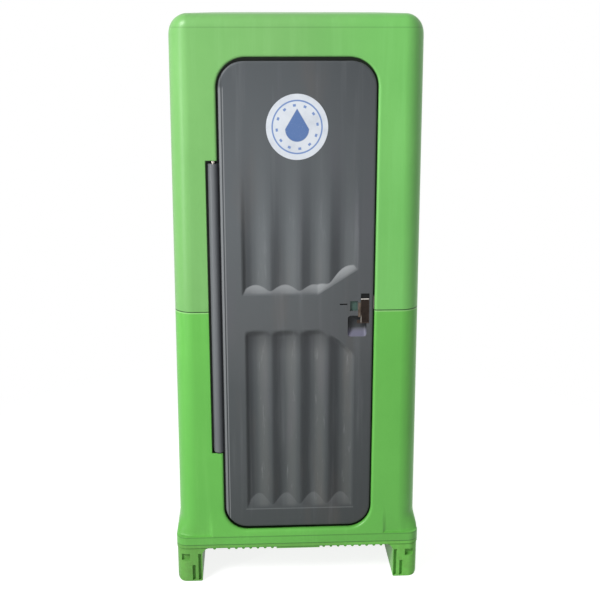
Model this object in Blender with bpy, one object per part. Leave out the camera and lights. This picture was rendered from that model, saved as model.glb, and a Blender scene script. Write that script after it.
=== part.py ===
"""Portable toilet cabin: two moulded half shells on a runner base, with a hinged door and its fittings.

Metres, +Z up. The origin is on the ground under the cabin's middle, and the door faces -Y.
"""
import math

import bmesh
import bpy
import numpy as np

# Fits between pieces
GAP = 0.0003
RUNNING_GAP = 0.0005
OVERRUN = 0.040
SECTION_STEPS = 6
ROUND_SIDES = 24
SMALL_SIDES = 16

# Cabin body
BASE_WIDTH = 1.010
BASE_DEPTH = 1.060
CABIN_HEIGHT = 2.300
ROOF_CROWN = 0.006
RIM_STEP = 0.0146
RIM_TOP_Z = 0.2028
PALLET_TOP_Z = 0.1642
FLARE_TOP_Z = 0.285
SEAM_Z = 1.1656
SIDE_DRAFT = 0.0063
WALL = 0.006
CORNER_RADIUS = 0.075
RIM_CORNER_RADIUS = 0.045
TOP_RADIUS_SIDE = 0.088
TOP_RADIUS_FRONT = 0.055
TOP_STEPS = 5
FLANGE_WIDTH = 0.022
FLANGE_THICKNESS = 0.006
FLARE_SHARES = ((0.00, 1.00, 1.00), (0.05, 0.97, 0.34), (0.18, 0.86, 0.18), (0.42, 0.56, 0.08),
                (0.72, 0.20, 0.02), (1.00, 0.00, 0.00))
PANEL_SHARES = ((0.00, 0.995), (0.10, 0.84), (0.24, 0.62), (0.42, 0.36), (0.62, 0.15), (0.82, 0.03),
                (1.00, -0.02))
CROWN_RING_SHARE = 0.45

# Doorway
OPENING_WIDTH = 0.6046
OPENING_BOTTOM_Z = 0.228
OPENING_HEAD = 0.158
OPENING_TOP_RADIUS = 0.110
OPENING_BOTTOM_RADIUS = 0.095
OPENING_EDGE_RADIUS = 0.012
EDGE_STEPS = 3
POST_WIDTH = 0.138
PANEL_FLARE_TOP_Z = 0.345
JAMB_WALL = 0.008
LIP_WIDTH = 0.014
LIP_THICKNESS = 0.007

# Door
DOOR_THICKNESS = 0.030
DOOR_RECESS = 0.004
DOOR_GAP_LEFT = 0.006
DOOR_GAP_RIGHT = 0.0045
DOOR_GAP_TOP = 0.012
DOOR_GAP_BOTTOM = 0.008
DOOR_EDGE_WIDTH = 0.010
DOOR_EDGE_DEPTH = 0.005

# Flutes in the door's face
FLUTE_DEPTH = 0.018
PANEL_EDGE = 0.020
FLUTE_SKIM = 0.0004
FLUTE_COUNT = 4
FLUTE_CREST_SOFTNESS = 0.22
FLUTE_COLUMNS = 32
UPPER_RIDGE_DEPTH = 0.008
UPPER_PANEL_LEFT_INSET = 0.0740
UPPER_PANEL_RIGHT_INSET = 0.0580
UPPER_PANEL_BOTTOM_Z = 1.2268
UPPER_PANEL_BEND_INSET = 0.2200
UPPER_PANEL_RISE = 0.0968
UPPER_PANEL_RISE_INSET = 0.0684
UPPER_FADE_SHARE = 0.19355
UPPER_FADE_TOP_INSET = 0.364
UPPER_RAMP = 0.042
UPPER_ROWS = 18
LOWER_RIDGE_DEPTH = 0.0054
LOWER_PANEL_LEFT_INSET = 0.0813
LOWER_PANEL_RIGHT_INSET = 0.0658
LOWER_PANEL_TOP_Z = 1.094
LOWER_PANEL_BEND_INSET = 0.2130
LOWER_PANEL_DROP = 0.096
LOWER_PANEL_DROP_INSET = 0.0700
LOWER_PANEL_BOTTOM_Z = 0.314
LOWER_RAMP = 0.067
LOWER_TOP_WALL = 0.012
LOWER_ROWS = 18

# Door hinge
HINGE_OUT = 0.0177
HINGE_SET = 0.0125
BARREL_RADIUS = 0.020
BARREL_BOTTOM_GAP = 0.006
BARREL_TOP_GAP = 0.011
BARREL_TONGUE_REACH = 0.045
BARREL_TONGUE_THICKNESS = 0.006
ROD_RADIUS = 0.0075
ROD_BITE = 0.014
BUSH_RADIUS = 0.0105
BUSH_LENGTH = 0.030
NOTCH_REACH = 0.028
NOTCH_BOTTOM_Z = 0.569
NOTCH_HEAD = 0.379
NOTCH_DEPTH = 0.0338
NOTCH_EDGE_RADIUS = 0.004
CHANNEL_WALL = 0.006
CHANNEL_CAP = 0.016
WASHER_RADIUS = 0.014

# Latch slide and finger pocket, seen on the door's face
SLIDE_EDGE_SET = 0.0156
SLIDE_WIDTH = 0.0332
SLIDE_BOTTOM_Z = 1.1110
SLIDE_TOP_Z = 1.2180
SLIDE_LIFT = 0.0090
SLIDE_THICKNESS = 0.0050
SLIDE_TONGUE_REACH = 0.0150
SLIDE_TONGUE_HEIGHT = 0.0240
SLIDE_RECESS = 0.0055
GUIDE_WIDTH = 0.0095
GUIDE_HEIGHT = 0.0590
GUIDE_THICKNESS = 0.0025
FINGER_EDGE_SET = 0.0243
FINGER_WIDTH = 0.0755
FINGER_BOTTOM_Z = 1.055
FINGER_TOP_Z = 1.143
FINGER_DEPTH = 0.021
FINGER_RADIUS = 0.012
KEY_SLOT_EDGE_SET = 0.1168
KEY_SLOT_Z = 1.1900
KEY_SLOT_LENGTH = 0.0300
KEY_SLOT_HEIGHT = 0.0035
KEY_SLOT_DEPTH = 0.0060
WINDOW_EDGE_SET = 0.0614
WINDOW_WIDTH = 0.0298
WINDOW_BOTTOM_Z = 1.1615
WINDOW_TOP_Z = 1.2023

# Lock inside the door
LOCK_SKIN = 0.0085
LOCK_EDGE_SET = 0.0098
LOCK_WIDTH = 0.120
LOCK_BOTTOM_Z = 1.151
LOCK_TOP_Z = 1.224
LOCK_WALL = 0.0025
LOCK_FLANGE = 0.012
LOCK_FLANGE_THICKNESS = 0.003
BOLT_Z = 1.1870
BOLT_HEIGHT = 0.0200
BOLT_THICKNESS = 0.0080
BOLT_TRAVEL = 0.0300
BOLT_LENGTH = 0.0800
BOLT_END_CLEAR = 0.0035
FLAG_THICKNESS = 0.0020
FLAG_MARGIN = 0.0010
KNOB_EDGE_SET = 0.0528
KNOB_RADIUS = 0.022
KNOB_THICKNESS = 0.008
KNOB_GRIP_HEIGHT = 0.016
KNOB_GRIP_WIDTH = 0.010
KNOB_SHAFT_RADIUS = 0.005
HOUSING_SCREW_RADIUS = 0.004
HOUSING_SCREW_HEAD = 0.0025
KEEPER_BOTTOM_Z = 1.168
KEEPER_TOP_Z = 1.222
KEEPER_THICKNESS = 0.0017
BOLT_HOLE_CLEAR = 0.0030

# Inner door pull and label
PULL_EDGE_SET = 0.1078
PULL_BOTTOM_Z = 0.930
PULL_TOP_Z = 1.060
PULL_REACH = 0.045
PULL_RADIUS = 0.008
PULL_BEND = 0.018
LABEL_SHIFT = -0.0027
LABEL_TOP_SET = 0.2425
LABEL_HALF_WIDTH = 0.1170
LABEL_HALF_HEIGHT = 0.1230
LABEL_THICKNESS = 0.0008

# Base pallet and runners
PALLET_BOTTOM_Z = 0.1505
RIB_RADIUS = 0.0065
RIB_END_INSET = 0.0519
RIB_COUNT = 9
RIB_MISSING = 7
RIB_STEPS = 4
PLAIN_HALF_WIDTH_SHARE = 0.225
PLAIN_RIB_GAP = 0.0175
RUNNER_WIDTH = 0.1056
RUNNER_WALL = 0.009
RUNNER_INSET = 0.0025
RUNNER_OUTER_RADIUS = 0.022
RUNNER_INNER_RADIUS = 0.006
RUNNER_GUSSET = 0.033
SLOT_WIDTH = 0.012
SLOT_DEPTH = 0.060
TALL_SLOT_INSET = 0.0040
TALL_SLOT_HEIGHT = 0.1240
SHORT_SLOT_INSET = 0.0290
SHORT_SLOT_HEIGHT = 0.0730
FOOT_WINDOW_INSET = 0.0510
FOOT_WINDOW_WIDTH = 0.0340
FOOT_WINDOW_BOTTOM_Z = 0.0945
FOOT_WINDOW_TOP_Z = 0.1250
FOOT_WINDOW_DEPTH = 0.040

# Floor, tank and seat
FLOOR_THICKNESS = 0.012
FLOOR_SIDE_GAP = 0.004
TANK_HEIGHT = 0.430
TANK_DEPTH = 0.514
TANK_FRONT_SLOPE = 0.040
TANK_SIDE_GAP = 0.012
TANK_BACK_GAP = 0.004
TANK_WALL = 0.006
TANK_RADIUS = 0.030
TANK_EDGE_RADIUS = 0.014
BOWL_FRONT_SET = 0.210
BOWL_HALF_WIDTH = 0.112
BOWL_HALF_LENGTH = 0.140
BOWL_COLLAR_HEIGHT = 0.090
SEAT_HALF_WIDTH = 0.185
SEAT_HALF_LENGTH = 0.195
SEAT_HOLE_HALF_WIDTH = 0.108
SEAT_HOLE_HALF_LENGTH = 0.132
SEAT_THICKNESS = 0.018
SEAT_SIDES = 40
SEAT_EXPONENT = 2.3
BUMPER_HEIGHT = 0.0057
BUMPER_RADIUS = 0.008
BUMPER_X = 0.100
BUMPER_Y_SHARES = (0.35, -0.35)
SEAT_HINGE_SET = 0.020
SEAT_PIN_LIFT = 0.018
SEAT_PIN_RADIUS = 0.005
SEAT_PIN_HALF_LENGTH = 0.116
KNUCKLE_RADIUS = 0.010
KNUCKLE_WIDTH = 0.0220
BRACKET_X = 0.105
SEAT_LUG_X = 0.081
LID_LUG_X = 0.056
LID_LIFT = 0.0066
LID_THICKNESS = 0.010
LID_DOME = 0.006
LID_MARGIN = 0.003
LID_OPEN_DEG = 100.0
LUG_REACH = 0.040
SEAT_LUG_DROP = 0.010
SEAT_LUG_RISE = 0.003

# Vents
PIPE_SIDE_SET = 0.107
PIPE_BACK_SET = 0.108
PIPE_RADIUS = 0.038
PIPE_WALL = 0.003
PIPE_HEAD = 0.214
PIPE_BEND = 0.070
PIPE_DIP = 0.025
PIPE_HOLE_CLEAR = 0.0010
BEND_STEPS = 6
CLIP_HEIGHT = 0.022
CLIP_WALL = 0.004
CLIP_BLOCK_WIDTH = 0.030
CLIP_Z_SHARES = (0.75, 0.61)
GRILLE_RADIUS = 0.058
GRILLE_THICKNESS = 0.006
GRILLE_SLOT_HEIGHT = 0.007
GRILLE_SLOT_PITCH = 0.016
GRILLE_SLOT_COUNT = 5
SIDE_VENT_HEAD = 0.284
SIDE_VENT_LENGTH = 0.240
SIDE_VENT_HEIGHT = 0.095
SIDE_VENT_THICKNESS = 0.005
SIDE_VENT_BORDER = 0.015
SIDE_SLOT_HEIGHT = 0.008
SIDE_SLOT_PITCH = 0.0155
SIDE_SLOT_COUNT = 4

# Urinal
URINAL_TANK_SET = 0.135
URINAL_TOP_Z = 0.985
URINAL_HEIGHT = 0.280
URINAL_DEPTH = 0.165
URINAL_HALF_WIDTH = 0.130
URINAL_WALL = 0.006
URINAL_SHARES = ((0.00, 0.42, 0.40), (0.18, 0.64, 0.68), (0.50, 0.88, 0.92), (1.00, 1.00, 1.00))
URINAL_PIPE_INSET = 0.045
URINAL_PIPE_RADIUS = 0.016
URINAL_PIPE_WALL = 0.0025
URINAL_PIPE_BEND = 0.050
URINAL_PIPE_Z = 0.440
URINAL_PIPE_REACH = 0.035
URINAL_SOCKET_DEPTH = 0.012
URINAL_SOCKET_RADIUS = 0.024
URINAL_SOCKET_LENGTH = 0.024

# Paper holder
PAPER_TANK_SET = 0.125
PAPER_Z = 0.880
PAPER_RADIUS = 0.055
PAPER_WIDTH = 0.098
PAPER_WALL_SPACE = 0.012
CORE_RADIUS = 0.021
CORE_WALL = 0.002
SPINDLE_PIN_RADIUS = 0.005
HOLDER_PLATE_THICKNESS = 0.004
HOLDER_PLATE_HEIGHT = 0.070
HOLDER_ARM_THICKNESS = 0.005
HOLDER_ARM_HEIGHT = 0.026

# Coat hook
HOOK_URINAL_SET = 0.090
HOOK_Z = 1.620
HOOK_PLATE_WIDTH = 0.034
HOOK_PLATE_HEIGHT = 0.064
HOOK_PLATE_THICKNESS = 0.004
HOOK_RADIUS = 0.005
HOOK_REACH = 0.040
HOOK_RISE = 0.028
HOOK_BEND = 0.014

# Seam bolts
SEAM_BOLT_RADIUS = 0.004
SEAM_BOLT_HEAD_RADIUS = 0.0075
SEAM_BOLT_HEAD_HEIGHT = 0.0055
SEAM_BOLT_SHARE = 0.25
SEAM_BOLT_CLEAR = 0.0004

# Places that follow from the sizes above
FRONT_Y = RIM_STEP - BASE_DEPTH / 2
BODY_WIDTH = BASE_WIDTH - 2 * RIM_STEP
BODY_DEPTH = BASE_DEPTH - 2 * RIM_STEP
ROOF_EDGE_Z = CABIN_HEIGHT - ROOF_CROWN
POST_INNER_X = BODY_WIDTH / 2 - POST_WIDTH
OPENING_TOP_Z = ROOF_EDGE_Z - OPENING_HEAD
HINGE_X = -OPENING_WIDTH / 2 - HINGE_OUT
NOTCH_LEFT_X = HINGE_X - NOTCH_REACH
NOTCH_TOP_Z = OPENING_TOP_Z - NOTCH_HEAD
BARREL_BOTTOM_Z = NOTCH_BOTTOM_Z + BARREL_BOTTOM_GAP
BARREL_TOP_Z = NOTCH_TOP_Z - BARREL_TOP_GAP
DOOR_FRONT_Y = FRONT_Y + DOOR_RECESS
DOOR_BACK_Y = DOOR_FRONT_Y + DOOR_THICKNESS
LIP_FRONT_Y = DOOR_BACK_Y + GAP
LIP_BACK_Y = LIP_FRONT_Y + LIP_THICKNESS
HINGE_Y = FRONT_Y + HINGE_SET
NOTCH_BACK_Y = FRONT_Y + NOTCH_DEPTH
FLOOR_TOP_Z = PALLET_TOP_Z + GAP + FLOOR_THICKNESS
TANK_BOTTOM_Z = FLOOR_TOP_Z + GAP
TANK_TOP_Z = TANK_BOTTOM_Z + TANK_HEIGHT
TANK_BACK_Y = BODY_DEPTH / 2 - SIDE_DRAFT * (TANK_TOP_Z - PALLET_TOP_Z) - WALL - TANK_BACK_GAP
TANK_FRONT_TOP_Y = TANK_BACK_Y - TANK_DEPTH
BOWL_CENTRE_Y = TANK_FRONT_TOP_Y + BOWL_FRONT_SET
SEAT_AXIS_Y = BOWL_CENTRE_Y + SEAT_HALF_LENGTH + SEAT_HINGE_SET
SEAT_AXIS_Z = TANK_TOP_Z + SEAT_PIN_LIFT
LOCK_FRONT_Y = DOOR_FRONT_Y + LOCK_SKIN
FLAG_BACK_Y = LOCK_FRONT_Y + RUNNING_GAP + FLAG_THICKNESS
BOLT_FRONT_Y = FLAG_BACK_Y + GAP
BOLT_BACK_Y = BOLT_FRONT_Y + BOLT_THICKNESS
DOOR_LEFT_X = DOOR_GAP_LEFT - OPENING_WIDTH / 2
DOOR_RIGHT_X = OPENING_WIDTH / 2 - DOOR_GAP_RIGHT
DOOR_BOTTOM_Z = OPENING_BOTTOM_Z + DOOR_GAP_BOTTOM
DOOR_TOP_Z = OPENING_TOP_Z - DOOR_GAP_TOP
UPPER_PANEL_LEFT_X = DOOR_LEFT_X + UPPER_PANEL_LEFT_INSET
UPPER_PANEL_RIGHT_X = DOOR_RIGHT_X - UPPER_PANEL_RIGHT_INSET
LOWER_PANEL_LEFT_X = DOOR_LEFT_X + LOWER_PANEL_LEFT_INSET
LOWER_PANEL_RIGHT_X = DOOR_RIGHT_X - LOWER_PANEL_RIGHT_INSET
UPPER_FADE_TOP_Z = DOOR_TOP_Z - UPPER_FADE_TOP_INSET
UPPER_FADE_BOTTOM_Z = (UPPER_PANEL_BOTTOM_Z
                       + UPPER_FADE_SHARE * (UPPER_FADE_TOP_Z - UPPER_PANEL_BOTTOM_Z))
SLIDE_RIGHT_X = DOOR_RIGHT_X - SLIDE_EDGE_SET
SLIDE_LEFT_X = SLIDE_RIGHT_X - SLIDE_WIDTH
FINGER_RIGHT_X = DOOR_RIGHT_X - FINGER_EDGE_SET
FINGER_LEFT_X = FINGER_RIGHT_X - FINGER_WIDTH
KEY_SLOT_X = DOOR_RIGHT_X - KEY_SLOT_EDGE_SET
WINDOW_RIGHT_X = DOOR_RIGHT_X - WINDOW_EDGE_SET
WINDOW_LEFT_X = WINDOW_RIGHT_X - WINDOW_WIDTH
LOCK_RIGHT_X = DOOR_RIGHT_X - LOCK_EDGE_SET
LOCK_LEFT_X = LOCK_RIGHT_X - LOCK_WIDTH
KNOB_X = DOOR_RIGHT_X - KNOB_EDGE_SET
PULL_X = DOOR_RIGHT_X - PULL_EDGE_SET
LABEL_X = (DOOR_LEFT_X + DOOR_RIGHT_X) / 2 + LABEL_SHIFT
LABEL_Z = DOOR_TOP_Z - LABEL_TOP_SET
RUNNER_INNER_X = BASE_WIDTH / 2 - RUNNER_WIDTH
PLAIN_HALF_WIDTH = RUNNER_INNER_X * PLAIN_HALF_WIDTH_SHARE
RIB_FIRST_X = PLAIN_HALF_WIDTH + PLAIN_RIB_GAP
RIB_PITCH = (RUNNER_INNER_X - RIB_END_INSET - RIB_FIRST_X) / (RIB_COUNT - 1)
PIPE_X = PIPE_SIDE_SET - BODY_WIDTH / 2
PIPE_Y = BODY_DEPTH / 2 - PIPE_BACK_SET
PIPE_TOP_Z = ROOF_EDGE_Z - PIPE_HEAD
SIDE_VENT_Z = ROOF_EDGE_Z - SIDE_VENT_HEAD
URINAL_Y = TANK_FRONT_TOP_Y - URINAL_TANK_SET
URINAL_PIPE_END_Y = TANK_FRONT_TOP_Y + URINAL_PIPE_REACH
PAPER_Y = TANK_FRONT_TOP_Y + PAPER_TANK_SET
PAPER_X_SET = PAPER_RADIUS + PAPER_WALL_SPACE
HOOK_Y = URINAL_Y - HOOK_URINAL_SET


def clear_scene():
    """Remove every object that the new scene starts with."""
    for item in list(bpy.data.objects):
        bpy.data.objects.remove(item, do_unlink=True)


def finish(name, colour, roughness, metallic=0.0):
    """A Principled material with one colour, roughness and metallic value."""
    made = bpy.data.materials.new(name)
    made.use_nodes = True
    shader = made.node_tree.nodes["Principled BSDF"]
    shader.inputs["Base Color"].default_value = (*colour, 1.0)
    shader.inputs["Roughness"].default_value = roughness
    shader.inputs["Metallic"].default_value = metallic
    made.diffuse_color = (*colour, 1.0)
    return made


def mesh_object(name, vertices, faces, material=None, smooth=False):
    """An object whose mesh has these vertices and faces, turned to point outwards."""
    mesh = bpy.data.meshes.new(name)
    mesh.from_pydata([tuple(map(float, v)) for v in vertices], [], faces)
    work = bmesh.new()
    work.from_mesh(mesh)
    bmesh.ops.recalc_face_normals(work, faces=work.faces)
    work.to_mesh(mesh)
    work.free()
    if smooth:
        mesh.shade_smooth()
        mesh.set_sharp_from_angle(angle=math.radians(35.0))
    made = bpy.data.objects.new(name, mesh)
    bpy.context.collection.objects.link(made)
    if material is not None:
        mesh.materials.append(material)
    return made


def skin(name, rows, material=None, closed=False, smooth=False):
    """A surface over rows of points that each run round, capped at both ends or closed on itself."""
    rows = [np.asarray(row, float) for row in rows]
    count = len(rows[0])
    faces = []
    last = len(rows) if closed else len(rows) - 1
    for level in range(last):
        upper = (level + 1) % len(rows)
        for here in range(count):
            there = (here + 1) % count
            faces.append((level * count + here, level * count + there,
                          upper * count + there, upper * count + here))
    if not closed:
        faces.append(tuple(reversed(range(count))))
        faces.append(tuple(range((len(rows) - 1) * count, len(rows) * count)))
    return mesh_object(name, np.vstack(rows), faces, material, smooth)


def rounded_outline(low, high, radii, steps=SECTION_STEPS):
    """Points and outward normals of a rounded rectangle, one radius for each corner from the lower right."""
    corners = ((high[0], low[1]), high, (low[0], high[1]), low)
    inward = ((-1, 1), (-1, -1), (1, -1), (1, 1))
    points, normals = [], []
    for index, (corner, side, radius) in enumerate(zip(corners, inward, radii)):
        turn = (index - 1) * math.pi / 2 + np.linspace(0, math.pi / 2, steps + 1)
        normal = np.column_stack((np.cos(turn), np.sin(turn)))
        centre = np.array(corner, float) + radius * np.array(side, float)
        points.append(centre + radius * normal)
        normals.append(normal)
    return np.vstack(points), np.vstack(normals)


def circle(radius, sides=ROUND_SIDES):
    """Points of a circle about the origin."""
    turn = np.arange(sides) * 2 * math.pi / sides
    return radius * np.column_stack((np.cos(turn), np.sin(turn)))


def flat_ring(outline, z):
    """An outline in X and Y, laid at height z."""
    return np.column_stack((outline, np.full(len(outline), z)))


def upright_ring(outline, y):
    """An outline in X and Z, stood at depth y."""
    return np.column_stack((outline[:, 0], np.full(len(outline), y), outline[:, 1]))


def box(name, low, high, material=None):
    """A box between two corners."""
    outline = np.array([(low[0], low[1]), (high[0], low[1]), (high[0], high[1]), (low[0], high[1])])
    return skin(name, [flat_ring(outline, low[2]), flat_ring(outline, high[2])], material)


TURNS = {"x": (0, math.pi / 2, 0), "y": (-math.pi / 2, 0, 0), "z": (0, 0, 0)}


def turned(name, stations, place, along, material=None, sides=ROUND_SIDES):
    """A solid turned about an axis, through stations of distance along it and radius."""
    rows = [flat_ring(circle(radius, sides), distance) for distance, radius in stations]
    made = skin(name, rows, material, smooth=True)
    made.location = place
    made.rotation_euler = TURNS[along]
    return made


def sleeve(name, start, end, outer, inner, place, along, material=None, sides=ROUND_SIDES):
    """A plain tube about an axis, open at both ends."""
    rows = [flat_ring(circle(outer, sides), start), flat_ring(circle(outer, sides), end),
            flat_ring(circle(inner, sides), end), flat_ring(circle(inner, sides), start)]
    made = skin(name, rows, material, closed=True, smooth=True)
    made.location = place
    made.rotation_euler = TURNS[along]
    return made


def bent_path(corners, bend, steps=BEND_STEPS):
    """Points along straight runs between corners, with a round bend at each inner corner."""
    corners = [np.array(c, float) for c in corners]
    path = [corners[0]]
    for before, corner, after in zip(corners, corners[1:], corners[2:]):
        back = (before - corner) / np.linalg.norm(before - corner)
        on = (after - corner) / np.linalg.norm(after - corner)
        half = math.acos(float(np.clip(back @ on, -1, 1))) / 2
        reach = bend / math.tan(half)
        middle = (back + on) / np.linalg.norm(back + on)
        centre = corner + middle * bend / math.sin(half)
        first = corner + back * reach - centre
        last = corner + on * reach - centre
        sweep = math.pi - 2 * half
        for step in range(steps + 1):
            share = step / steps
            path.append(centre + (math.sin((1 - share) * sweep) * first
                                  + math.sin(share * sweep) * last) / math.sin(sweep))
    path.append(corners[-1])
    return np.array(path)


def path_rings(path, radius, side, sides):
    """A circle square to the path at each of its points, kept upright by one side direction."""
    side = np.array(side, float)
    ahead = np.gradient(path, axis=0)
    ahead[1:-1] = ((path[2:] - path[1:-1]) / np.linalg.norm(path[2:] - path[1:-1], axis=1)[:, None]
                   + (path[1:-1] - path[:-2])
                   / np.linalg.norm(path[1:-1] - path[:-2], axis=1)[:, None])
    rings = []
    for point, forward in zip(path, ahead):
        forward = forward / np.linalg.norm(forward)
        up = np.cross(forward, side)
        ring = circle(radius, sides)
        rings.append(point + ring[:, :1] * side + ring[:, 1:] * up)
    return rings


def bent_bar(name, path, radius, side, material=None, sides=SMALL_SIDES):
    """A solid round bar along a path that lies in the plane square to the side direction."""
    return skin(name, path_rings(path, radius, side, sides), material, smooth=True)


def bent_pipe(name, path, outer, inner, side, material=None, sides=ROUND_SIDES):
    """A pipe along a path, open at both ends."""
    rows = path_rings(path, outer, side, sides) + path_rings(path, inner, side, sides)[::-1]
    return skin(name, rows, material, closed=True, smooth=True)


def guide(made):
    """Mark an object as a construction guide that isn't part of the cabin."""
    made.hide_render = True
    made.display_type = "WIRE"
    return made


def shape(target, operation, other):
    """Add one Boolean step to a piece, with the other object kept as a guide."""
    step = target.modifiers.new(f"{operation.lower()}_{other.name}", "BOOLEAN")
    step.operation = operation
    step.solver = "EXACT"
    step.object = guide(other)
    return target


def cut(target, *others):
    """Take the other shapes out of a piece."""
    for other in others:
        shape(target, "DIFFERENCE", other)
    return target


def join(target, *others):
    """Make the other shapes part of a piece."""
    for other in others:
        shape(target, "UNION", other)
    return target


def pivot(name, place, turn=(0, 0, 0)):
    """An empty on a joint's axis."""
    made = bpy.data.objects.new(name, None)
    made.location = place
    made.rotation_euler = turn
    bpy.context.collection.objects.link(made)
    return made


def carry(axis, *pieces):
    """Hang pieces that are built in place on the empty that turns or slides them."""
    bpy.context.view_layer.update()
    for piece in pieces:
        piece.parent = axis
        piece.matrix_parent_inverse = axis.matrix_world.inverted()


def half_width(z):
    """Half the body's outer width at height z."""
    return BODY_WIDTH / 2 - SIDE_DRAFT * (z - PALLET_TOP_Z)


def back_y(z):
    """The body's outer back face at height z."""
    return BODY_DEPTH / 2 - SIDE_DRAFT * (z - PALLET_TOP_Z)


def body_outline(z, offset, radius):
    """The cabin's outline at height z, moved outwards by an offset."""
    half = half_width(z) + offset
    return rounded_outline((-half, FRONT_Y - offset), (half, back_y(z) + offset), [radius] * 4)


def top_rings(offset):
    """Rings of the rounded top edge, whose radius differs between the sides and the front."""
    points, normals = body_outline(ROOF_EDGE_Z, offset, CORNER_RADIUS + offset)
    edge = (TOP_RADIUS_SIDE * normals[:, 0] ** 2 + TOP_RADIUS_FRONT * normals[:, 1] ** 2 + offset)
    top = ROOF_EDGE_Z + offset
    rings = []
    for step in range(TOP_STEPS + 1):
        turn = step / TOP_STEPS * math.pi / 2
        ring = points - normals * (edge * (1 - math.cos(turn)))[:, None]
        rings.append(np.column_stack((ring, top - edge * (1 - math.sin(turn)))))
    return rings


def crown_ring(last, rise):
    """A smaller ring over the roof, raised so that rain runs off."""
    middle = last.mean(axis=0)
    ring = middle + (last - middle) * CROWN_RING_SHARE
    ring[:, 2] += rise
    return ring


def cabin_form(name, material):
    """The cabin's outer form, solid, from the foot rim to the roof."""
    rings = [flat_ring(body_outline(PALLET_TOP_Z, RIM_STEP, RIM_CORNER_RADIUS)[0], PALLET_TOP_Z + GAP)]
    for height, side, front in FLARE_SHARES:
        z = RIM_TOP_Z + height * (FLARE_TOP_Z - RIM_TOP_Z)
        body, normals = body_outline(z, 0, CORNER_RADIUS)
        rim = body_outline(z, RIM_STEP, RIM_CORNER_RADIUS)[0]
        forward = np.clip(-normals[:, 1:], 0, None) ** 2
        share = side + (front - side) * forward
        rings.append(flat_ring(body + (rim - body) * share, z))
    rings += top_rings(0)
    rings.append(crown_ring(rings[-1], ROOF_CROWN))
    return skin(name, rings, material, smooth=True)


def panel_out(z):
    """How far the wall between the corner posts stands out of the facade at height z."""
    heights, shares = np.array(PANEL_SHARES).T
    share = np.interp((z - RIM_TOP_Z) / (PANEL_FLARE_TOP_Z - RIM_TOP_Z), heights, shares)
    return RIM_STEP * share


def panel_flare():
    """The wall between the corner posts, which runs down into the rim in one curve."""
    back = FRONT_Y + WALL / 2
    heights = RIM_TOP_Z + np.array(PANEL_SHARES)[:, 0] * (PANEL_FLARE_TOP_Z - RIM_TOP_Z)
    low = (PALLET_TOP_Z + RIM_TOP_Z) / 2
    fronts = FRONT_Y - panel_out(heights)
    profile = np.vstack(((back, low), (FRONT_Y, low), np.column_stack((fronts, heights)),
                         (back, PANEL_FLARE_TOP_Z)))
    rings = []
    for x in (-POST_INNER_X, POST_INNER_X):
        rings.append(np.column_stack((np.full(len(profile), x), profile)))
    return skin("join_panel_flare", rings)


def cabin_cavity():
    """The space inside the cabin, narrowed at the seam so that two bolting flanges are left."""
    flange_low = SEAM_Z - FLANGE_THICKNESS
    flange_high = SEAM_Z + FLANGE_THICKNESS
    inner_radius = CORNER_RADIUS - WALL
    stations = ((PALLET_TOP_Z - OVERRUN, 0), (flange_low, 0), (flange_low, FLANGE_WIDTH),
                (flange_high, FLANGE_WIDTH), (flange_high, 0))
    rings = []
    for z, flange in stations:
        rings.append(flat_ring(body_outline(z, -WALL - flange, inner_radius - flange)[0], z))
    rings += top_rings(-WALL)
    return skin("cut_cavity", rings)


def doorway_outline(offset):
    """The doorway's outline in X and Z, grown by an offset."""
    half = OPENING_WIDTH / 2 + offset
    low, high = OPENING_BOTTOM_RADIUS + offset, OPENING_TOP_RADIUS + offset
    return rounded_outline((-half, OPENING_BOTTOM_Z - offset), (half, OPENING_TOP_Z + offset),
                           (low, high, high, low))[0]


def mouth_rings(outline, front, edge):
    """Rings that start in front of a face and pass it with a rounded edge, then run straight."""
    rings = [upright_ring(outline(edge), front - OVERRUN)]
    for step in range(EDGE_STEPS + 1):
        turn = step / EDGE_STEPS * math.pi / 2
        rings.append(upright_ring(outline(edge * (1 - math.sin(turn))),
                                  front + edge * (1 - math.cos(turn))))
    return rings


def doorway_cutters():
    """The doorway as far as its lip, and the narrower way through the lip."""
    wide = mouth_rings(doorway_outline, FRONT_Y, OPENING_EDGE_RADIUS)
    for ring in wide:
        ring[:, 1] -= np.maximum(panel_out(ring[:, 2]), 0)
    wide.append(upright_ring(doorway_outline(0), LIP_FRONT_Y))
    narrow = [upright_ring(doorway_outline(-LIP_WIDTH), FRONT_Y),
              upright_ring(doorway_outline(-LIP_WIDTH), LIP_BACK_Y + OVERRUN)]
    return skin("cut_doorway", wide), skin("cut_way_in", narrow)


def jamb_frame(name):
    """The return flange round the doorway, before the doorway is cut through it."""
    rings = [upright_ring(doorway_outline(JAMB_WALL), FRONT_Y + WALL / 2),
             upright_ring(doorway_outline(JAMB_WALL), LIP_BACK_Y)]
    return skin(name, rings)


def notch_outline(offset):
    """The hinge notch's outline in X and Z, which reaches into the doorway."""
    right = LIP_WIDTH - OPENING_WIDTH / 2
    radius = NOTCH_EDGE_RADIUS
    return rounded_outline((NOTCH_LEFT_X - offset, NOTCH_BOTTOM_Z - offset),
                           (right, NOTCH_TOP_Z + offset), [radius] * 4, EDGE_STEPS)[0]


def hinge_channel():
    """The moulded channel behind the hinge barrel."""
    return box("join_channel",
               (NOTCH_LEFT_X - CHANNEL_WALL, FRONT_Y + WALL / 2, NOTCH_BOTTOM_Z - CHANNEL_CAP),
               (-OPENING_WIDTH / 2, NOTCH_BACK_Y + CHANNEL_WALL, NOTCH_TOP_Z + CHANNEL_CAP))


def hinge_notch():
    """The space for the hinge barrel."""
    rings = mouth_rings(notch_outline, FRONT_Y, NOTCH_EDGE_RADIUS)
    rings.append(upright_ring(notch_outline(0), NOTCH_BACK_Y))
    return skin("cut_notch", rings)


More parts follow.
